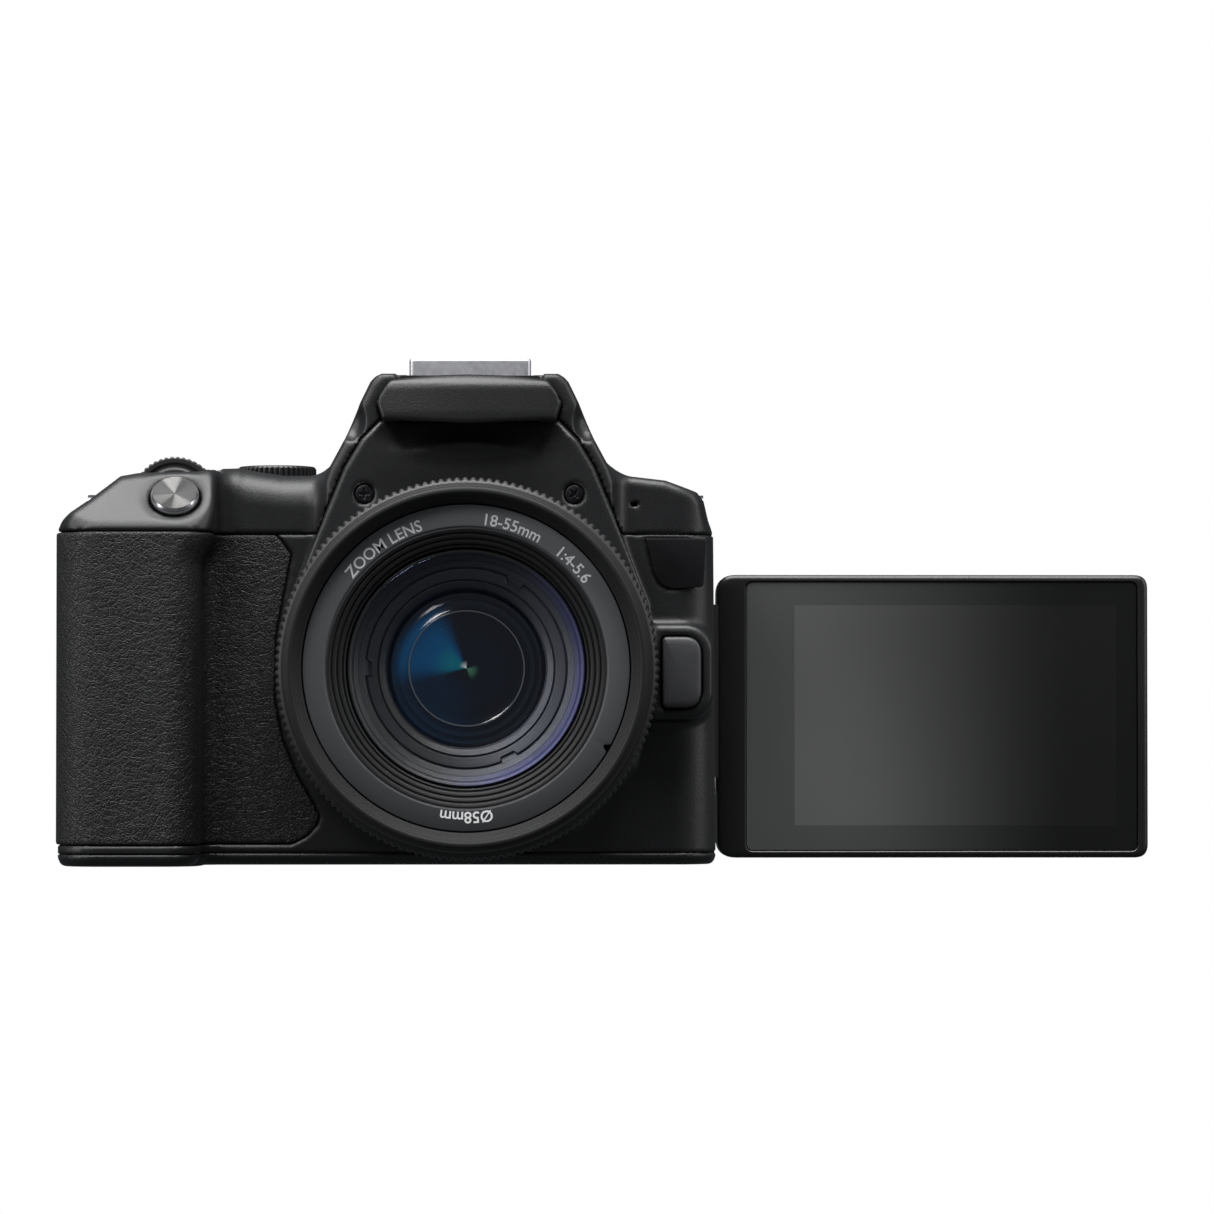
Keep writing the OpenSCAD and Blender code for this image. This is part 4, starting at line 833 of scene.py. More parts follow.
zoom = softened([(CORE_R + 0.2, ZOOM_Y0 - 0.05), (ZOOM_R - 1.2, ZOOM_Y0 - 0.05),
                 (ZOOM_R - 0.5, ZOOM_Y0 - 0.9), (ZOOM_R - 0.5, ZOOM_Y0 - 1.6),
                 (ZOOM_R, ZOOM_Y0 - 2.4), (ZOOM_R, ZOOM_Y0 - 13.0),
                 (ZOOM_R, ZOOM_Y1 + 2.6), (ZOOM_R, ZOOM_Y1 + 1.3), (ZOOM_R - 0.5, ZOOM_Y1 + 0.5),
                 (ZOOM_R - 1.2, ZOOM_Y1 + 0.05), (CORE_R + 0.2, ZOOM_Y1 + 0.05)], 0.25)
piece("zoom_grip", turned(zoom, 147 * 8, knurl=teeth(147, 0.62, ZOOM_Y1 + 0.2, ZOOM_Y0 - 3.0, ZOOM_R)),
      "zoom_ring", ["zoom_ring"], rib_plastic)

# %% Front rim, focus ring and the plate with its ridges
head_r, RIM_R = FOCUS_R - 1.8, min(31.0, FOCUS_R - 0.4)
rim = softened([(25.4, -50.0), (CORE_R - 2.2, -50.0), (CORE_R - 2.2, FOCUS_Y0 + 1.9),
                (FOCUS_R - 0.4, FOCUS_Y0 + 1.4), (FOCUS_R, FOCUS_Y0 + 1.0), (FOCUS_R, FOCUS_Y0 + 0.1),
                (head_r, FOCUS_Y0), (head_r, FOCUS_Y1), (FOCUS_R, FOCUS_Y1 - 0.1),
                (FOCUS_R - 0.05, FRONT_Y + 3.6), (FOCUS_R - 0.25, FRONT_Y + 1.6), (RIM_R, FRONT_Y + 0.5),
                (RIM_R - 0.3, FRONT_Y + 0.42), (RIM_R - 0.5, FRONT_Y + 0.1), (30.2, FRONT_Y + 0.02),
                (29.9, FRONT_Y + 0.02), (29.5, FRONT_Y + 0.35), (29.5, FRONT_Y + 0.7),
                (29.15, FRONT_Y + 0.95), (29.3, FRONT_Y + 1.25), (28.85, FRONT_Y + 1.6),
                (29.0, FRONT_Y + 1.95), (28.5, FRONT_Y + 2.4), (28.6, FRONT_Y + 2.8),
                (28.1, FRONT_Y + 3.2), (28.05, PLATE_Y + 1.6), (25.4, PLATE_Y + 1.6)], 0.14)
piece("front_rim", turned(rim, 300),
      "inner_barrel", ["inner_barrel"], rim_plastic, 50)

focus = softened([(head_r + 0.15, FOCUS_Y0 - 0.1), (FOCUS_R - 0.6, FOCUS_Y0 - 0.1), (FOCUS_R, FOCUS_Y0 - 0.8),
                  (FOCUS_R, FOCUS_Y0 - 3.4), (FOCUS_R, FOCUS_Y1 + 0.8), (FOCUS_R - 0.6, FOCUS_Y1 + 0.1),
                  (head_r + 0.15, FOCUS_Y1 + 0.1)], 0.2)
piece("focus_grip", turned(focus, 72 * 8, knurl=teeth(72, 0.4, FOCUS_Y1 + 0.4, FOCUS_Y0 - 0.4, FOCUS_R)),
      "focus_ring", ["focus_ring"], rib_plastic)

plate = softened([(27.85, PLATE_Y + 0.05), (24.25, PLATE_Y + 0.05), (24.0, PLATE_Y + 0.5),
                  (23.75, PLATE_Y + 0.35), (23.2, PLATE_Y + 0.5), (23.0, PLATE_Y + 1.1),
                  (22.8, PLATE_Y + 0.85), (22.25, PLATE_Y + 1.05), (22.05, PLATE_Y + 1.7),
                  (21.85, PLATE_Y + 1.45), (21.3, PLATE_Y + 1.65), (21.1, PLATE_Y + 2.4),
                  (20.85, PLATE_Y + 2.1), (20.6, PLATE_Y + 2.4), (20.5, PLATE_Y + 5.5), (23.0, PLATE_Y + 5.5),
                  (25.2, PLATE_Y + 2.0), (27.85, PLATE_Y + 1.4)], 0.12)
def hood_notch(r, h, a):
    near = np.abs((a + 0.523 + math.pi) % (2 * math.pi) - math.pi)
    return np.where((r > 26.6) & (near < 0.018), r - 0.9, r)
piece("name_plate", turned(plate, 360, knurl=hood_notch),
      "inner_barrel", ["nameplate_ring"], plate_plastic, 40)

# %% [markdown]
# ## Front glass
# The first element is almost invisible. What shows is its ground edge, the stepped rings
# of the group behind it, and the coatings, which send back blue and green from the curved
# faces of the glass. So the inner rings and the dark group are made as they lie, and a
# thin coated dome covers them. The blue and green, and a bright ring, are painted
# reflections and a painted highlight in the dark group's colour.

# %% Coatings
def group_glass():
    """The deep group: black glass with painted reflections of its coatings in its colour: fans of blue, then
    teal towards the middle, green and a glint at fixed clock angles, and a painted highlight ring.
    """
    f = Finish("group_glass", (0.002, 0.004, 0.008), 0.12, 0.0, Coat_Weight=1.0, Coat_Roughness=0.03)
    r, c, s = from_axis(f)
    # painted reflections: the coatings' blue, teal and green and a glint, as fans at fixed clock angles
    blue = fan(f, c, s, 151.0, 50.0) * step(f, r, 0.2, 2.2) * (1 - step(f, r, 10.5, 13.6))
    teal = fan(f, c, s, 158.0, 42.0) * (1 - step(f, r, 2.6, 6.6))
    glint = fan(f, c, s, 128.0, 52.0) * (1 - step(f, r, 0.2, 1.5))
    green = fan(f, c, s, -28.0, 58.0) * (1 - step(f, r, 0.5, 2.4))
    faint = (1 - step(f, r, 2.0, 13.0)) * 0.25 + 0.08
    rings = f.node("ShaderNodeMath", {"operation": "SINE"}, {0: r * 9.0})
    base = f.blend(faint, (0.001, 0.0015, 0.003), (0.004, 0.012, 0.03))
    for at, wide, tone in ((5.8, 0.10, 0.012), (11.4, 0.55, 0.016), (12.75, 0.35, 0.016)):
        ring = step(f, r, at - wide, at - wide * 0.4) * (1 - step(f, r, at + wide * 0.4, at + wide))
        base = f.blend(ring, base, (tone * 0.55, tone * 0.9, tone * 1.3))
    # painted reflection: a faint blue fan towards the lower left
    base = f.blend(fan(f, c, s, 205.0, 95.0) * step(f, r, 1.5, 5.0) * 0.7, base, (0.0, 0.018, 0.05))
    base = f.blend(blue, base, (0.0, 0.10, 0.28))
    # painted highlight: a light grey ring at about 9.9 mm
    base = f.blend(step(f, r, 9.72, 9.84) * (1 - step(f, r, 9.98, 10.1)) * 0.8, base, (0.16, 0.18, 0.19))
    base = f.blend(teal * 0.8, base, (0.0, 0.20, 0.26))
    base = f.blend(green * 0.7, base, (0.10, 0.30, 0.18))
    base = f.blend(glint, base, (0.75, 0.80, 0.85))
    f.send(Base_Color=base, Roughness=rings * 0.03 + 0.14)
    return f.relief(rings, 0.00001)

def ring_metal():
    """Anodised rings of the lens group: slate satin, with painted light that makes them cooler and lighter to
    the lower right, and a painted blue highlight on their outer edge there.
    """
    f = Finish("ring_metal", (0.03, 0.032, 0.038), 0.42, 0.35)
    r, c, s = from_axis(f)
    # painted light: a fan that lightens the rings towards the lower right
    lower = fan(f, c, s, -20.0, 95.0)
    turned_lines = f.node("ShaderNodeMath", {"operation": "SINE"}, {0: r * 28.0})
    grain = f.noise(2600.0, 2.0)
    rim = step(f, r, 17.9, 19.3)
    base = f.blend(lower, (0.034, 0.035, 0.037), (0.088, 0.095, 0.115))
    # painted highlight: blue on the outer edge, where the lower-right fan lights it
    base = f.blend(rim * lower, base, (0.06, 0.065, 0.17))
    base = f.blend(grain * 0.25, base, (0.06, 0.06, 0.065))
    f.send(Base_Color=base, Roughness=grain * 0.2 + 0.32)
    return f.relief(turned_lines * 0.4 + grain * 0.6, 0.000012)

coating = Finish("coating", (0.38, 0.46, 0.78), 0.03, 1.0, Alpha=0.024)
coating.send(Roughness=coating.noise(90.0, 3.0) * 0.03 + 0.015)
coating.material.surface_render_method = "BLENDED"

# %% Rings and glass of the front group
GLASS_Y = PLATE_Y + 3.2
rings = softened([(20.4, GLASS_Y), (20.1, GLASS_Y - 0.45), (19.65, GLASS_Y - 0.2), (19.3, GLASS_Y + 0.5),
                  (18.5, GLASS_Y + 1.2), (18.45, GLASS_Y + 1.45), (17.4, GLASS_Y + 1.9),
                  (17.3, GLASS_Y + 2.5), (17.1, GLASS_Y + 2.5), (17.0, GLASS_Y + 2.0),
                  (15.9, GLASS_Y + 2.35), (15.3, GLASS_Y + 2.5), (15.25, GLASS_Y + 3.1),
                  (15.05, GLASS_Y + 3.1), (14.95, GLASS_Y + 2.7), (13.9, GLASS_Y + 3.4),
                  (13.6, GLASS_Y + 4.2), (13.6, GLASS_Y + 8.0), (20.4, GLASS_Y + 6.0)], 0.1)
def slots(r, h, a):
    """Three short tool slots cut outwards from the retaining ring's inner groove."""
    near = np.min([np.abs((a - t + math.pi) % (2 * math.pi) - math.pi) for t in (math.pi, 1.05, -1.12)], 0)
    return np.where((r > 16.5) & (r < 17.35) & (h > GLASS_Y + 1.95) & (near < 0.085), r - 0.75, r)
piece("group_rings", turned(rings, 360, knurl=slots),
      "inner_barrel", (), ring_metal(), 30)

r = np.array([0, 0.6, 2, 4, 6, 8, 9.7, 9.8, 10.0, 10.1, 11.5, 11.65, 11.8, 12.8, 12.95, 13.1, 13.55])
lift = np.array([0, 0, 0, 0, 0, 0, 0, 0.12, 0.12, 0, 0, 0.1, 0, 0, 0.1, 0, 0])
front = np.stack([r, GLASS_Y + 4.6 + (r / 13.55) ** 2 * 1.3 - lift], 1)
deep = np.concatenate([front, [[13.55, GLASS_Y + 8.5], [0, GLASS_Y + 8.5]]])
piece("deep_group", turned(deep, 256, closed=False),
      "inner_barrel", (), group_glass())

r = np.linspace(0, 20.35, 24)
dome = np.stack([r, PLATE_Y + 0.9 + r * r / (2 * 96.0)], 1)
under = np.stack([r[::-1], PLATE_Y + 2.0 + r[::-1] ** 2 / (2 * 150.0)], 1)
piece("front_dome", turned(np.concatenate([dome, under]), 192, closed=False),
      "inner_barrel", ["front_glass"], coating)

# %% Lettering on the plate
white_ink = Finish("white_ink", (0.72, 0.72, 0.72), 0.5)
speck = white_ink.noise(1200.0, 2.0)
tone = white_ink.blend(white_ink.noise(900.0, 3.0), (0.85, 0.85, 0.85), (0.96, 0.96, 0.96))
white_ink.send(Roughness=speck * 0.2 + 0.4, Base_Color=tone)

def lettering(name, words, centre, size, reach):
    """Raised ink: each word's flat letters are bent round the axis, so that x along the line
    becomes an angle and y a radius. The middle of the words lies at the clock angle centre."""
    curve = bpy.data.curves.new(name, "FONT")
    curve.body, curve.size, curve.align_x, curve.extrude = words, size * 1.38, "CENTER", 0.03
    curve.resolution_u, curve.offset = 4, size * 0.018
    carrier = bpy.data.objects.new(name, curve)
    bpy.context.scene.collection.objects.link(carrier)
    flat = bpy.data.meshes.new_from_object(carrier.evaluated_get(bpy.context.evaluated_depsgraph_get()))
    bpy.data.objects.remove(carrier)
    co = np.zeros(len(flat.vertices) * 3)
    flat.vertices.foreach_get("co", co)
    co = co.reshape(-1, 3)
    a = math.radians(centre) - co[:, 0] / reach
    rr = reach + co[:, 1] - size * 0.5
    y = PLATE_Y + 0.04 - co[:, 2]
    bent = np.stack([rr * np.cos(a), y, AXIS_Z + rr * np.sin(a)], 1) * 0.001
    flat.vertices.foreach_set("co", bent.ravel())
    flat.materials.clear()
    flat.materials.append(white_ink.material)
    flat.update()
    thing = bpy.data.objects.new(name, flat)
    bpy.context.scene.collection.objects.link(thing)
    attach(thing, "inner_barrel")
    return thing

LETTER, LETTER_R = 2.0, 25.55
for name, words, centre in (("range_words", "18-55mm", 72.0), ("ratio_words", "1:4-5.6", 44.0),
                            ("kind_words", "ZOOM LENS", 124.7), ("thread_words", "Ø58mm", -90.0)):
    lettering(name, words, centre, LETTER, LETTER_R)

# %% [markdown]
# ## Flash head and hot shoe
# The flash pops up out of the finder hump. Closed, its brow overhangs the front housing,
# and the hairline round it is the only sign that it moves. Behind it sits the accessory
# shoe, a folded metal channel with two bright springs that press on whatever slides in.

# %% Flash head
def flash_head(x, y, z):
    """The brow's outline run back from a leaning front face, then the narrow arm and its hinge."""
    lean = -31.2 + 0.10 * np.maximum(z - 82.0, 0) + 1.5 * ease(z, 85.6, 89.2) ** 2 + 0.006 * x ** 2
    top = z - 88.9 + 0.004 * x ** 2 - 0.055 * (y + 28)
    brow = both(outline(x, z, HEAD), np.maximum(lean - y, y + 13.2), 0.7)
    deep = both(np.maximum(np.abs(x) - 16.2, lean - y),
                np.maximum(y + 13.0, np.maximum(top, 81.3 - z)), 0.8)
    brow = np.minimum(brow, both(deep, outline(x, z - 0.5, HEAD), 0.6))
    brow = np.maximum(brow, np.where(y > -23.2, np.maximum(81.25 - z, -1), -99))
    run = np.maximum(between(y, -13.4, HINGE_Y), between(z, 82.0, HINGE_Z + 4.1))
    arm = both(between(x, -12.9, 12.9), run, 0.4)
    knuckle = both(np.hypot(y - HINGE_Y, z - HINGE_Z) - 4.15, np.abs(x) - 12.9, 0.4)
    pin = np.maximum(np.hypot(y - HINGE_Y, z - HINGE_Z) - 1.25, np.abs(x) - 15.1)
    whole = np.minimum(np.minimum(brow, arm), np.minimum(knuckle, pin))
    window = np.maximum(np.abs(x) - 13.0, np.maximum(between(y, -29.0, -22.8), z - 83.5))
    return without(whole, window, 0.3)

piece("flash_brow", carve(flash_head, (-17.4, -32, 79.4), (17.4, -1, 90.4), 0.36),
      "flash", ["flash_head"], head_plastic, 40)

# %% Hot shoe and its springs
shoe_low, shoe_high = box_mm("hot_shoe")
def hot_shoe(x, y, z):
    """Block with a channel that narrows to a slot between two folded lips."""
    top = shoe_high[2]
    block = rounded_box(x, y, shoe_low[:2], shoe_high[:2], 0.9)
    block = both(block, between(z, shoe_low[2], top), 0.45)
    channel = np.maximum(np.maximum(np.abs(x) - 9.3, shoe_low[1] + 2.4 - y), between(z, HUMP_Z, top - 1.1))
    mouth = np.maximum(np.maximum(np.abs(x) - 6.3, shoe_low[1] + 2.4 - y), HUMP_Z - z)
    pads = np.min([np.hypot(x - a, y - shoe_low[1] - b) - c for a, b, c in
                   ((0, 9.4, 1.5), (-3, 5.6, 0.9), (3, 5.6, 0.9), (-3, 12.6, 0.9), (3, 12.6, 0.9))], 0)
    ringed = np.maximum(np.abs(pads) - 0.18, HUMP_Z - 0.4 - z)
    return without(without(block, np.minimum(channel, mouth), 0.2), ringed, 0.05)

piece("shoe_frame", carve(hot_shoe, shoe_low - 0.5, shoe_high + 0.5, 0.27),
      "camera_body", ["hot_shoe"], shoe_metal, 40)

def ribbon(path, width, thick, side):
    """A flat strip bent along a path of (x, y, z) points; side is the direction of its width."""
    path, side = np.asarray(path, float), np.asarray(side, float)
    run = np.gradient(path, axis=0)
    up = np.cross(side, run)
    up /= np.linalg.norm(up, axis=1)[:, None]
    across, over = side * width / 2, up * thick / 2
    corners = np.stack([path + across + over, path + across - over,
                        path - across - over, path - across + over], 1)
    k = len(path)
    ends = [np.array([[3, 2, 1, 0]]), np.arange(4)[None] + (k - 1) * 4]
    return corners.reshape(-1, 3), [grid_faces(k, 4, False, True)] + ends

t = np.linspace(0, 1, 24)
springs = []
for x in (-7.8, 7.8):
    humps = 0.62 * np.exp(-((t - 0.10) / 0.10) ** 2) + 0.85 * np.exp(-((t - 0.5) / 0.16) ** 2)
    z = np.minimum(shoe_high[2] - 0.9 + humps, shoe_high[2] - 0.02)
    path = np.stack([0 * t + x, shoe_low[1] + 2.6 + t * 13.8, z], 1)
    springs.append(ribbon(path, 2.1, 0.26, (1, 0, 0)))
piece("shoe_spring_pair", joined(*springs),
      "camera_body", ["shoe_springs"], bright_metal, 35)

# %% [markdown]
# ## Shutter button, dials and buttons
# The shutter button is turned metal in a dished surround, set into the slope so that the
# finger lands on it. The dials have cut teeth. The small buttons are domed rubbery
# plastic with a soft rim, each one standing just proud of its hole.

# %% Shutter button
SLOPED = ((PRESS_X, PRESS_Y, PRESS_Z), (1, 0, 0), (0, math.cos(LEAN), math.sin(LEAN)),
          (0, -math.sin(LEAN), math.cos(LEAN)))

def brushed_face():
    """Turned face: rings of the distance from the middle, and a painted highlight in three fans at fixed
    clock angles, standing for the fan of light that the rings throw.
    """
    hub = tuple(np.array(SLOPED[0]) / 1000)
    f = turned_metal("brushed_face", (0.27, 0.27, 0.28), 0.32, hub, 0.00012, SLOPED[3])
    spot = f.node("ShaderNodeVectorMath", {"operation": "SUBTRACT"}, {0: f.place(), 1: hub})
    dot = {"operation": "DOT_PRODUCT"}
    u = f.node("ShaderNodeVectorMath", dot, {0: spot, 1: SLOPED[1]}, out="Value") * 1000
    v = f.node("ShaderNodeVectorMath", dot, {0: spot, 1: SLOPED[2]}, out="Value") * 1000
    r = f.node("ShaderNodeMath", {"operation": "SQRT"}, {0: u * u + v * v + 0.001})
    c, s = u / r, v / r
    # painted highlight: three fans at fixed clock angles, lighter than the dark metal colour
    light = fan(f, c, s, 100.0, 34.0) + fan(f, c, s, -66.0, 40.0) * 0.75 + fan(f, c, s, -150.0, 30.0) * 0.35
    thin = f.node("ShaderNodeTexNoise", {"noise_dimensions": "1D"},
                  {"W": r * 11.0, "Scale": 1.0, "Detail": 3.0}, out=0)
    base = f.blend(light, (0.022, 0.022, 0.022), (0.12, 0.118, 0.115))
    f.send(Base_Color=f.blend(thin * 0.30, base, (0.07, 0.07, 0.07)))
    return f

dished = [[a, 0.52 + 0.016 * a * a] for a in (0.0, 1.0, 2.0, 3.0, 3.7)]
skirt = softened([(4.0, 0.80), (4.32, 0.35), (4.4, -0.3), (4.4, -4.2), (4.8, -4.3), (4.8, -5.0)],
                 0.12, closed=False)
press = np.concatenate([dished, skirt, [[0, -5.0]]])
press_button = piece("press_button", turned(press, 128, SLOPED, closed=False),
      "shutter_button", ["shutter_button"], brushed_face(), 35)
press_button.data.materials.append(bright_metal.material)
reach = np.zeros(len(press_button.data.polygons) * 3)
press_button.data.polygons.foreach_get("center", reach)
away = reach.reshape(-1, 3) * 1000 - np.array(SLOPED[0])
radius = np.hypot(away @ np.array(SLOPED[1]), away @ np.array(SLOPED[2]))
press_button.data.polygons.foreach_set("material_index", (radius > 3.98).astype(np.int32))

# %% Dials
def knob(node, name, axis, profile, count, depth, finish, low, high):
    """A turned knob at the middle of its node, its teeth on the outer skin."""
    o = middle(node)
    where = (o, ACROSS, UP, BACK) if axis == "y" else (o, ACROSS, BACK, UP)
    base = max(r for r, _ in profile)
    shape = turned(profile, count * 8, where, closed=False, knurl=teeth(count, depth, low, high, base))
    return piece(name, shape, node, [node], finish, 40)

low, high = box_mm("main_dial")
r, t = (high[0] - low[0]) / 2, 2.5
spin = softened([(0, -4.9), (1.5, -4.9), (1.5, -t), (5.6, -t), (6.0, -t + 0.35), (6.6, -t + 0.35), (6.8, -t),
                 (r - 0.25, -t), (r, -t + 0.3), (r, t - 0.3), (r - 0.25, t), (1.5, t), (1.5, 4.9), (0, 4.9)],
                0.14, closed=False)
knob("main_dial", "finger_dial", "y", spin, 46, 0.5, lens_plastic, -t - 0.2, t + 0.2)

low, high = box_mm("mode_dial")
r, zc = (high[0] - low[0]) / 2, (low[2] + high[2]) / 2
top, foot = high[2] - zc, 70.7 - zc
spin = softened([(0, low[2] - zc), (2.0, low[2] - zc), (2.0, foot), (r - 0.3, foot), (r, foot + 0.3),
                 (r, top - 0.6), (r - 0.35, top - 0.12), (5.9, top - 0.02), (5.7, top - 0.2),
                 (5.2, top - 0.2), (5.0, top), (0, top)], 0.14, closed=False)
knob("mode_dial", "mode_knob", "z", spin, 44, 0.45, button_plastic, foot - 0.4, top - 0.2)

# %% Buttons
def stud(node, name, axis, r, out, deep, collar=None, dome=0.28):
    """Domed button: its cap stands out by `out` from the node's middle, its stem goes in by `deep`."""
    caps = [[a * r, out - dome * a ** 3] for a in (0, 0.3, 0.55, 0.78, 0.9)]
    foot = -deep if collar is None else -deep + 1.2
    edge = [(r - 0.06, out - dome - 0.12), (r, out - dome - 0.4), (r, foot)]
    if collar:
        edge += [(collar, foot), (collar, -deep)]
    edge += [(0, -deep)]
    profile = np.concatenate([caps, np.array(edge)])
    o = middle(node)
    where = (o, ACROSS, UP, BACK) if axis == "y" else (o, ACROSS, BACK, UP)
    return piece(name, turned(profile, 64, where, closed=False), node, [node],
                 button_plastic, 50)

for node in ("iso_button", "display_button", "live_button", "lock_button", "point_button",
             "exposure_button", "info_button", "play_button", "erase_button"):
    axis = "z" if node in ("iso_button", "display_button") else "y"
    low, high = box_mm(node)
    half = (high - low)["xyz".index(axis)] / 2
    collar = (high[0] - low[0]) / 2
    stud(node, node.replace("button", "stud"), axis, 2.4, half, half, collar)

o, (low, high) = middle("cross_keys"), box_mm("cross_keys")
half = (high[1] - low[1]) / 2
def cross(x, y, z):
    """Ring of four keys: a rounded disc, dished round the set button, with four finger dots."""
    r = np.hypot(x - o[0], z - o[2])
    disc = both(r - 9.4, between(y, low[1], high[1]), 0.5)
    dish = np.maximum(high[1] - 0.55 + 0.016 * (r - 3) ** 2 - y, r - 8.4)
    dots = np.min([np.hypot(x - o[0] - a, z - o[2] - b)
                   for a, b in ((0, 6.5), (0, -6.5), (6.5, 0), (-6.5, 0))], 0)
    dots = np.maximum(dots - 0.55, high[1] - 0.62 - y)
    return without(without(without(disc, dish, 0.3), dots, 0.1), r - 3.9, 0.3)
piece("key_ring", carve(cross, low - 0.4, high + 0.4, 0.25),
      "cross_keys", ["cross_keys"], button_plastic)
low, high = box_mm("set_button")
stud("set_button", "set_stud", "y", (high[0] - low[0]) / 2, (high[1] - low[1]) / 2, (high[1] - low[1]) / 2)

# %% Lens release, badge plate and the front screws
low, high = box_mm("release_button")
zc, side = AXIS_Z, RELEASE_X - 3.5
dee = softened([(side + 7.0, zc - 6.45), (side + 7.0, zc + 6.45), (side, zc + 6.45), (side, zc - 6.45)],
               [3.3, 3.3, 0.9, 0.9], 12)
edge = [(0.1, 1.96), (0.0, 2.16), (0.0, 7.0), (0.08, 7.35), (0.25, 7.6), (0.5, 7.75)]
crown = [(0.85, 7.88), (0.6, 8.0), (0.3, 8.05), (0.05, 8.06)]
front = (0, low[1] + 8.06, 0), ACROSS, UP, FRONT
stem = turned(softened([(0, -3.8), (1.5, -3.8), (1.5, 2.6), (0, 2.6)], 0.05, closed=False), 48,
              ((RELEASE_X, low[1] + 8.06, zc), ACROSS, UP, FRONT), closed=False)
piece("release_cap", joined(panel(dee, edge, front, crown), stem),
      "release_button", ["release_button"], cap_plastic, 30)

badge = softened([(32.35, 59.9), (43.0, 59.85), (43.35, 59.4), (43.0, 51.5), (42.6, 51.0), (37.3, 50.6),
                  (35.3, 51.2), (33.9, 53.3)], [0.5, 0.4, 0.3, 0.4, 0.3, 0.8, 0.6, 0.8], 4)
edge = [(0.1, 0), (0.0, 0.1), (0.0, 0.62), (0.08, 0.76), (0.25, 0.82)]
front = (0, FACE_Y + 0.4, 0), ACROSS, UP, FRONT
piece("badge_insert", panel(badge, edge, front),
      "camera_body", ["badge_plate"], badge_plastic, 30)

def screw(centre, out, turn, r=1.6, shank=0.9, length=5.0):
    """Cross-head screw: a low domed head, a cross cut into it and the shank behind."""
    centre, out = np.asarray(centre, float), np.asarray(out, float)
    across = np.array([1.0, 0, 0])
    up = np.cross(out, across)
    c, s = math.cos(turn), math.sin(turn)
    def field(u, v, w):
        q = np.hypot(u, v)
        head = both(q - r, np.maximum(w - 0.35 + 0.10 * q ** 2 / r, -0.55 - w), 0.12)
        a, b = np.abs(u * c + v * s), np.abs(v * c - u * s)
        cut = np.maximum(np.minimum(np.maximum(a - 0.95, b - 0.2), np.maximum(b - 0.95, a - 0.2)), -0.25 - w)
        cut = np.minimum(cut, np.maximum(q - 0.42, -0.3 - w))
        return np.minimum(without(head, cut, 0.04), np.maximum(q - shank, between(w, -length, -0.4)))
    points, faces = carve(field, (-r - 0.2, -r - 0.2, -length - 0.2), (r + 0.2, r + 0.2, 0.6), 0.1)
    return centre + points[:, :1] * across + points[:, 1:2] * up + points[:, 2:] * out, faces

piece("front_screw_pair", joined(screw((-SCREW_X, SKIRT_Y + 0.45, SCREW_Z), (0, -1, 0), 0.0),
                                 screw((SCREW_X, SKIRT_Y + 0.45, SCREW_Z), (0, -1, 0), 0.785)),
      "camera_body", ["front_screws"], dark_metal)
base_screws = [screw((x, y, 0.5), (0, 0, -1), 0.4 * x + y)
               for x, y in ((-38, -4), (38, -4), (38, 19), (-38, 19))]
piece("base_screw_set", joined(*base_screws),
      "camera_body", ["base_screws"], dark_metal)

# %% [markdown]
# ## Screen
# The screen is a flat box on a two-way hinge: a thin bezel round a sheet of black glass,
# with the picture area a shade lighter than its border. Its edges are rolled, and a
# parting line runs round the side where front and back meet.

# %% Screen panel
def rounded_shape(low, high, r, steps=8):
    corners = [(low[0], low[1]), (high[0], low[1]), (high[0], high[1]), (low[0], high[1])]
    return softened(corners, np.asarray(r) * 1.15, steps)

def screen_face():
    """Black glass: a picture area a shade lighter than its border, both carrying a painted reflection of the
    room, lighter towards the bottom and fading to dark across.
    """
    f = Finish("screen_face", (0.01, 0.01, 0.011), 0.12, 0.0, Coat_Weight=0.5, Coat_Roughness=0.02)
    x = f.node("ShaderNodeSeparateXYZ", {}, {0: f.place()}, out="X") * 1000
    z = f.node("ShaderNodeSeparateXYZ", {}, {0: f.place()}, out="Z") * 1000
    inside = band(f, x, PICTURE[0], PICTURE[1], 0.05) * band(f, z, PICTURE[2], PICTURE[3], 0.05)
    # painted reflection: the room's reflection fades to dark as x grows
    drift = step(f, x, PICTURE[0] - 12.0, PICTURE[0] + 54.0)
    # painted reflection: lighter towards the bottom
    low = 1 - step(f, z, PICTURE[2] - 4.0, PICTURE[3])
    smear = f.noise(60.0, 4.0, 0.6)
    border = f.blend(low, (0.075, 0.078, 0.075), (0.115, 0.118, 0.115))
    border = f.blend(drift, border, (0.004, 0.004, 0.0042))
    picture = f.blend(low, (0.105, 0.108, 0.105), (0.175, 0.18, 0.175))
    picture = f.blend(drift, picture, (0.007, 0.007, 0.0065))
    base = f.blend(inside, border, picture)
    f.send(Base_Color=f.blend(smear * 0.12, base, (0.03, 0.03, 0.03)), Roughness=smear * 0.08 + 0.08)
    return f

PX0, PZ0, PX1, PZ1 = bezel_low[0], bezel_low[2], bezel_high[0], bezel_high[2]
glass_low, glass_high = box_mm("screen_glass")
PICTURE = (glass_low[0] + 9.2, glass_high[0] - 4.0, PZ0 + 6.2, PZ1 - 5.8)
panel_shape = rounded_shape((PX0, PZ0), (PX1, PZ1), [3.2, 2.2, 2.2, 3.2])
BEZEL_Y, PART_Y = bezel_low[1], bezel_high[1]
window = rounded_shape((glass_low[0] - 0.15, glass_low[2] - 0.15),
                       (glass_high[0] + 0.15, glass_high[2] + 0.15), 1.3)

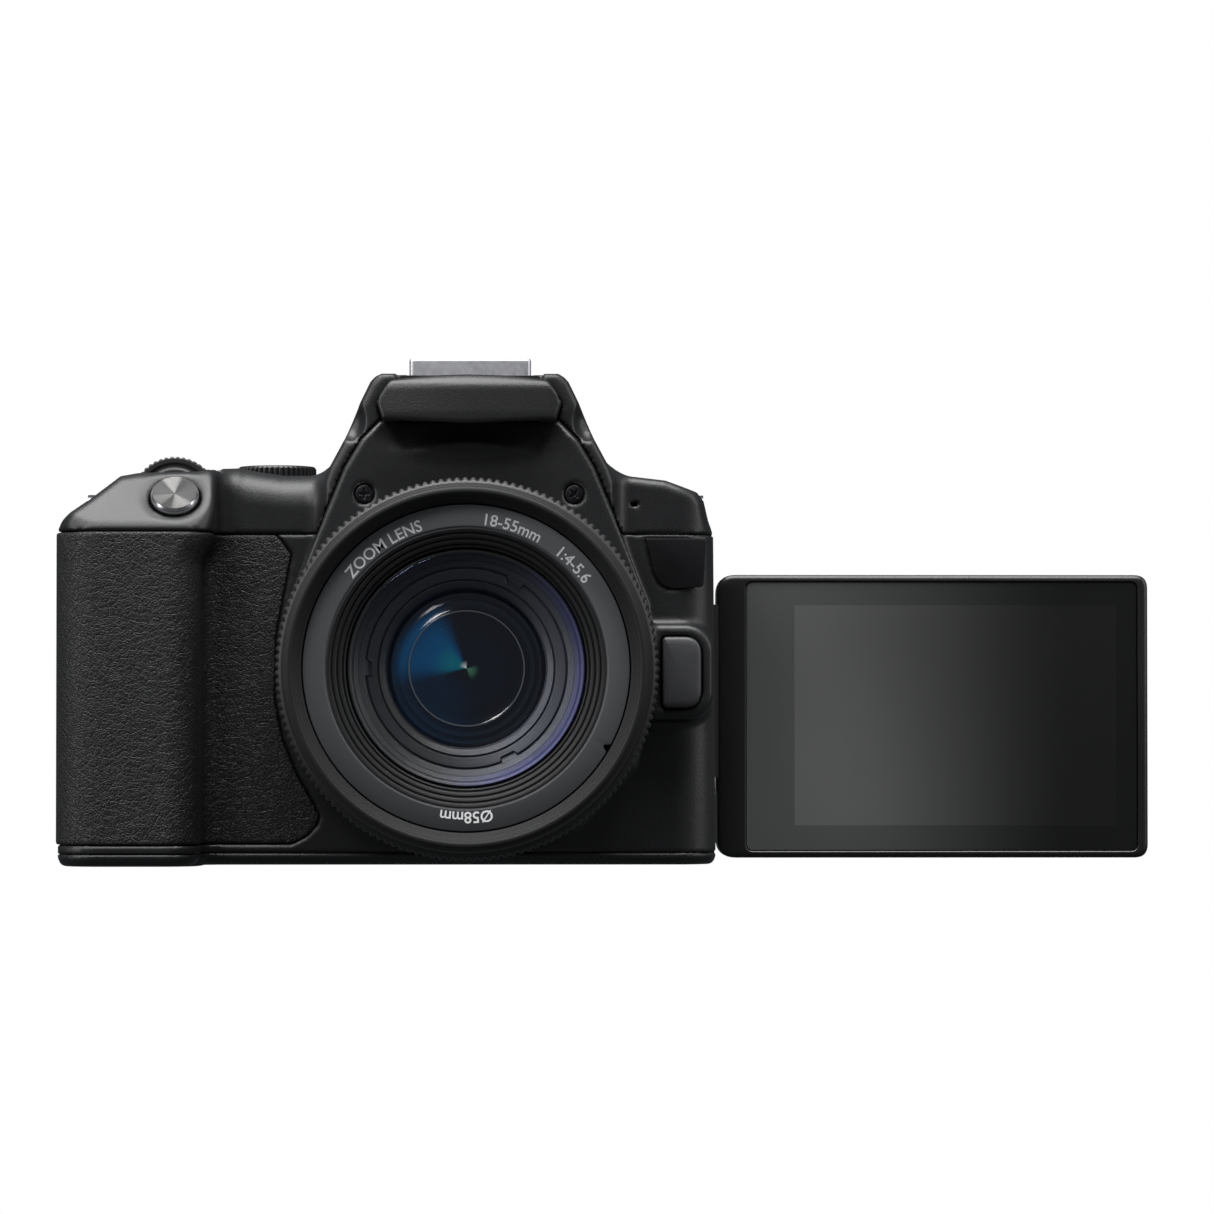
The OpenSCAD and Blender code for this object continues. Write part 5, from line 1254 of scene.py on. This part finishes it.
def tray(outer, inner, front_y, back_y, floor_y):
    """A shallow tray: the outer outline with a rolled edge, then the inner one sunk to a floor.
    Both have as many points, so that the front face joins them."""
    def inset(shape, by):
        run = np.roll(shape, -1, 0) - np.roll(shape, 1, 0)
        side = np.stack([-run[:, 1], run[:, 0]], 1) / (np.hypot(*run.T)[:, None] + 1e-9)
        return shape + side * by
    roll = ((0.4, back_y), (0.3, back_y - 0.12), (0.0, back_y - 0.32), (0.0, front_y + 1.1),
            (0.12, front_y + 0.5), (0.42, front_y + 0.16), (0.85, front_y))
    well = ((-0.14, front_y), (0.0, front_y + 0.12), (0.0, floor_y))
    rows = [(inset(outer, b), y) for b, y in roll] + [(inset(inner, b), y) for b, y in well]
    points = np.concatenate([np.stack([r[:, 0], 0 * r[:, 0] + y, r[:, 1]], 1) for r, y in rows])
    n, k = len(outer), len(rows)
    ends = [np.arange(n)[None, ::-1], (np.arange(n) + (k - 1) * n)[None]]
    return points, [grid_faces(k, n, False, True)] + ends

piece("screen_front", tray(panel_shape, window, BEZEL_Y, PART_Y - 0.03, glass_low[1] + 1.3),
      "screen", ["screen_bezel"], panel_plastic, 30)

face = rounded_shape((glass_low[0], glass_low[2]), (glass_high[0], glass_high[2]), 1.2)
face_edge = [(0.1, 1.2), (0.0, 1.1), (0.0, 0.12), (0.1, 0.02), (0.25, 0.0)]
piece("screen_sheet", panel(face, face_edge, ((0, glass_low[1], 0), ACROSS, UP, BACK)),
      "screen", ["screen_glass"], screen_face(), 30)

deep = box_mm("screen_back")[1][1] - PART_Y
back_edge = [(0.4, 0.0), (0.3, 0.12), (0.0, 0.32), (0.0, deep - 1.4), (0.1, deep - 0.8),
             (0.4, deep - 0.3), (0.9, deep - 0.05), (1.5, deep)]
piece("screen_rear",
      panel(panel_shape, back_edge, ((0, PART_Y + 0.02, 0), ACROSS, UP, BACK)),
      "screen", ["screen_back"], cover_plastic, 30)

# %% [markdown]
# ## What keeps its engineered shape
# The hinge, the battery, the door, the boards and the rest of the inside are exactly what
# the drawing says: machined, stamped or moulded with plain faces. They keep their meshes
# and get a small edge break and the finish of their material.

# %% Finishes and edge breaks on the rest
def dressed(names, finish, edge=0.12):
    for name in names:
        thing = nodes[name]
        thing.data.materials.clear()
        thing.data.materials.append(finish.material)
        if edge:
            soften = thing.modifiers.new("edge_break", "BEVEL")
            soften.width, soften.segments, soften.limit_method = edge / 1000, 2, "ANGLE"
            soften.angle_limit, soften.harden_normals = math.radians(35), True

dressed(["hinge_knuckle", "hinge_bracket"], panel_plastic, 0.2)
dressed(["power_lever"], button_plastic, 0.15)
dressed(["diopter_dial"], button_plastic, 0.12)
dressed(["focus_switch"], button_plastic, 0.25)
dressed(["battery_door", "door_latch"], cover_plastic, 0.15)
dressed(["jack_cover"], plain_rubber, 0.3)
dressed(["strap_lugs"], metal("lug_steel", (0.34, 0.34, 0.35), 0.3), 0.2)
dressed(["tripod_socket", "body_mount_ring"], bright_metal, 0.1)
dressed(["mirror_box", "shutter_unit"], inner_plastic, 0.1)
dressed(["main_mirror", "sub_mirror"], mirror_silver, 0.05)
dressed(["focusing_screen", "pentamirror"], case_plastic, 0.05)
dressed(["eyepiece_lens"], clear_glass, 0)
dressed(["flash_window"], clear_glass, 0)
dressed(["image_sensor"], sensor_glass, 0.05)
dressed(["main_board"], board_green, 0)
dressed(["battery", "memory_card"], case_plastic, 0.2)

# %% Eyecup
cup_low, cup_high = box_mm("eyecup")
def eyecup(x, y, z):
    """Soft rubber frame that flares towards the eye round a rectangular window."""
    cx, cz = (cup_low[0] + cup_high[0]) / 2, (cup_low[2] + cup_high[2]) / 2
    t = np.clip((y - cup_low[1]) / (cup_high[1] - cup_low[1]), 0, 1)
    w, h = (cup_high[0] - cup_low[0]) / 2, (cup_high[2] - cup_low[2]) / 2
    outer = rounded_box(x - cx, z - cz, (-w, -h), (w, h), 5.0) + 1.1 * np.sin(t * math.pi) ** 2
    wide, tall = 8.6 + 2.5 * t, 6.4 + 1.2 * t
    inner = rounded_box(x - cx, z - cz, (-wide, -tall), (wide, tall), 2.5)
    ring = both(outer, between(y, cup_low[1], cup_high[1]), 1.0)
    return without(ring, inner, 1.0)

piece("eye_frame", carve(eyecup, cup_low - 0.6, cup_high + 0.6, 0.4),
      "camera_body", ["eyecup"], plain_rubber)
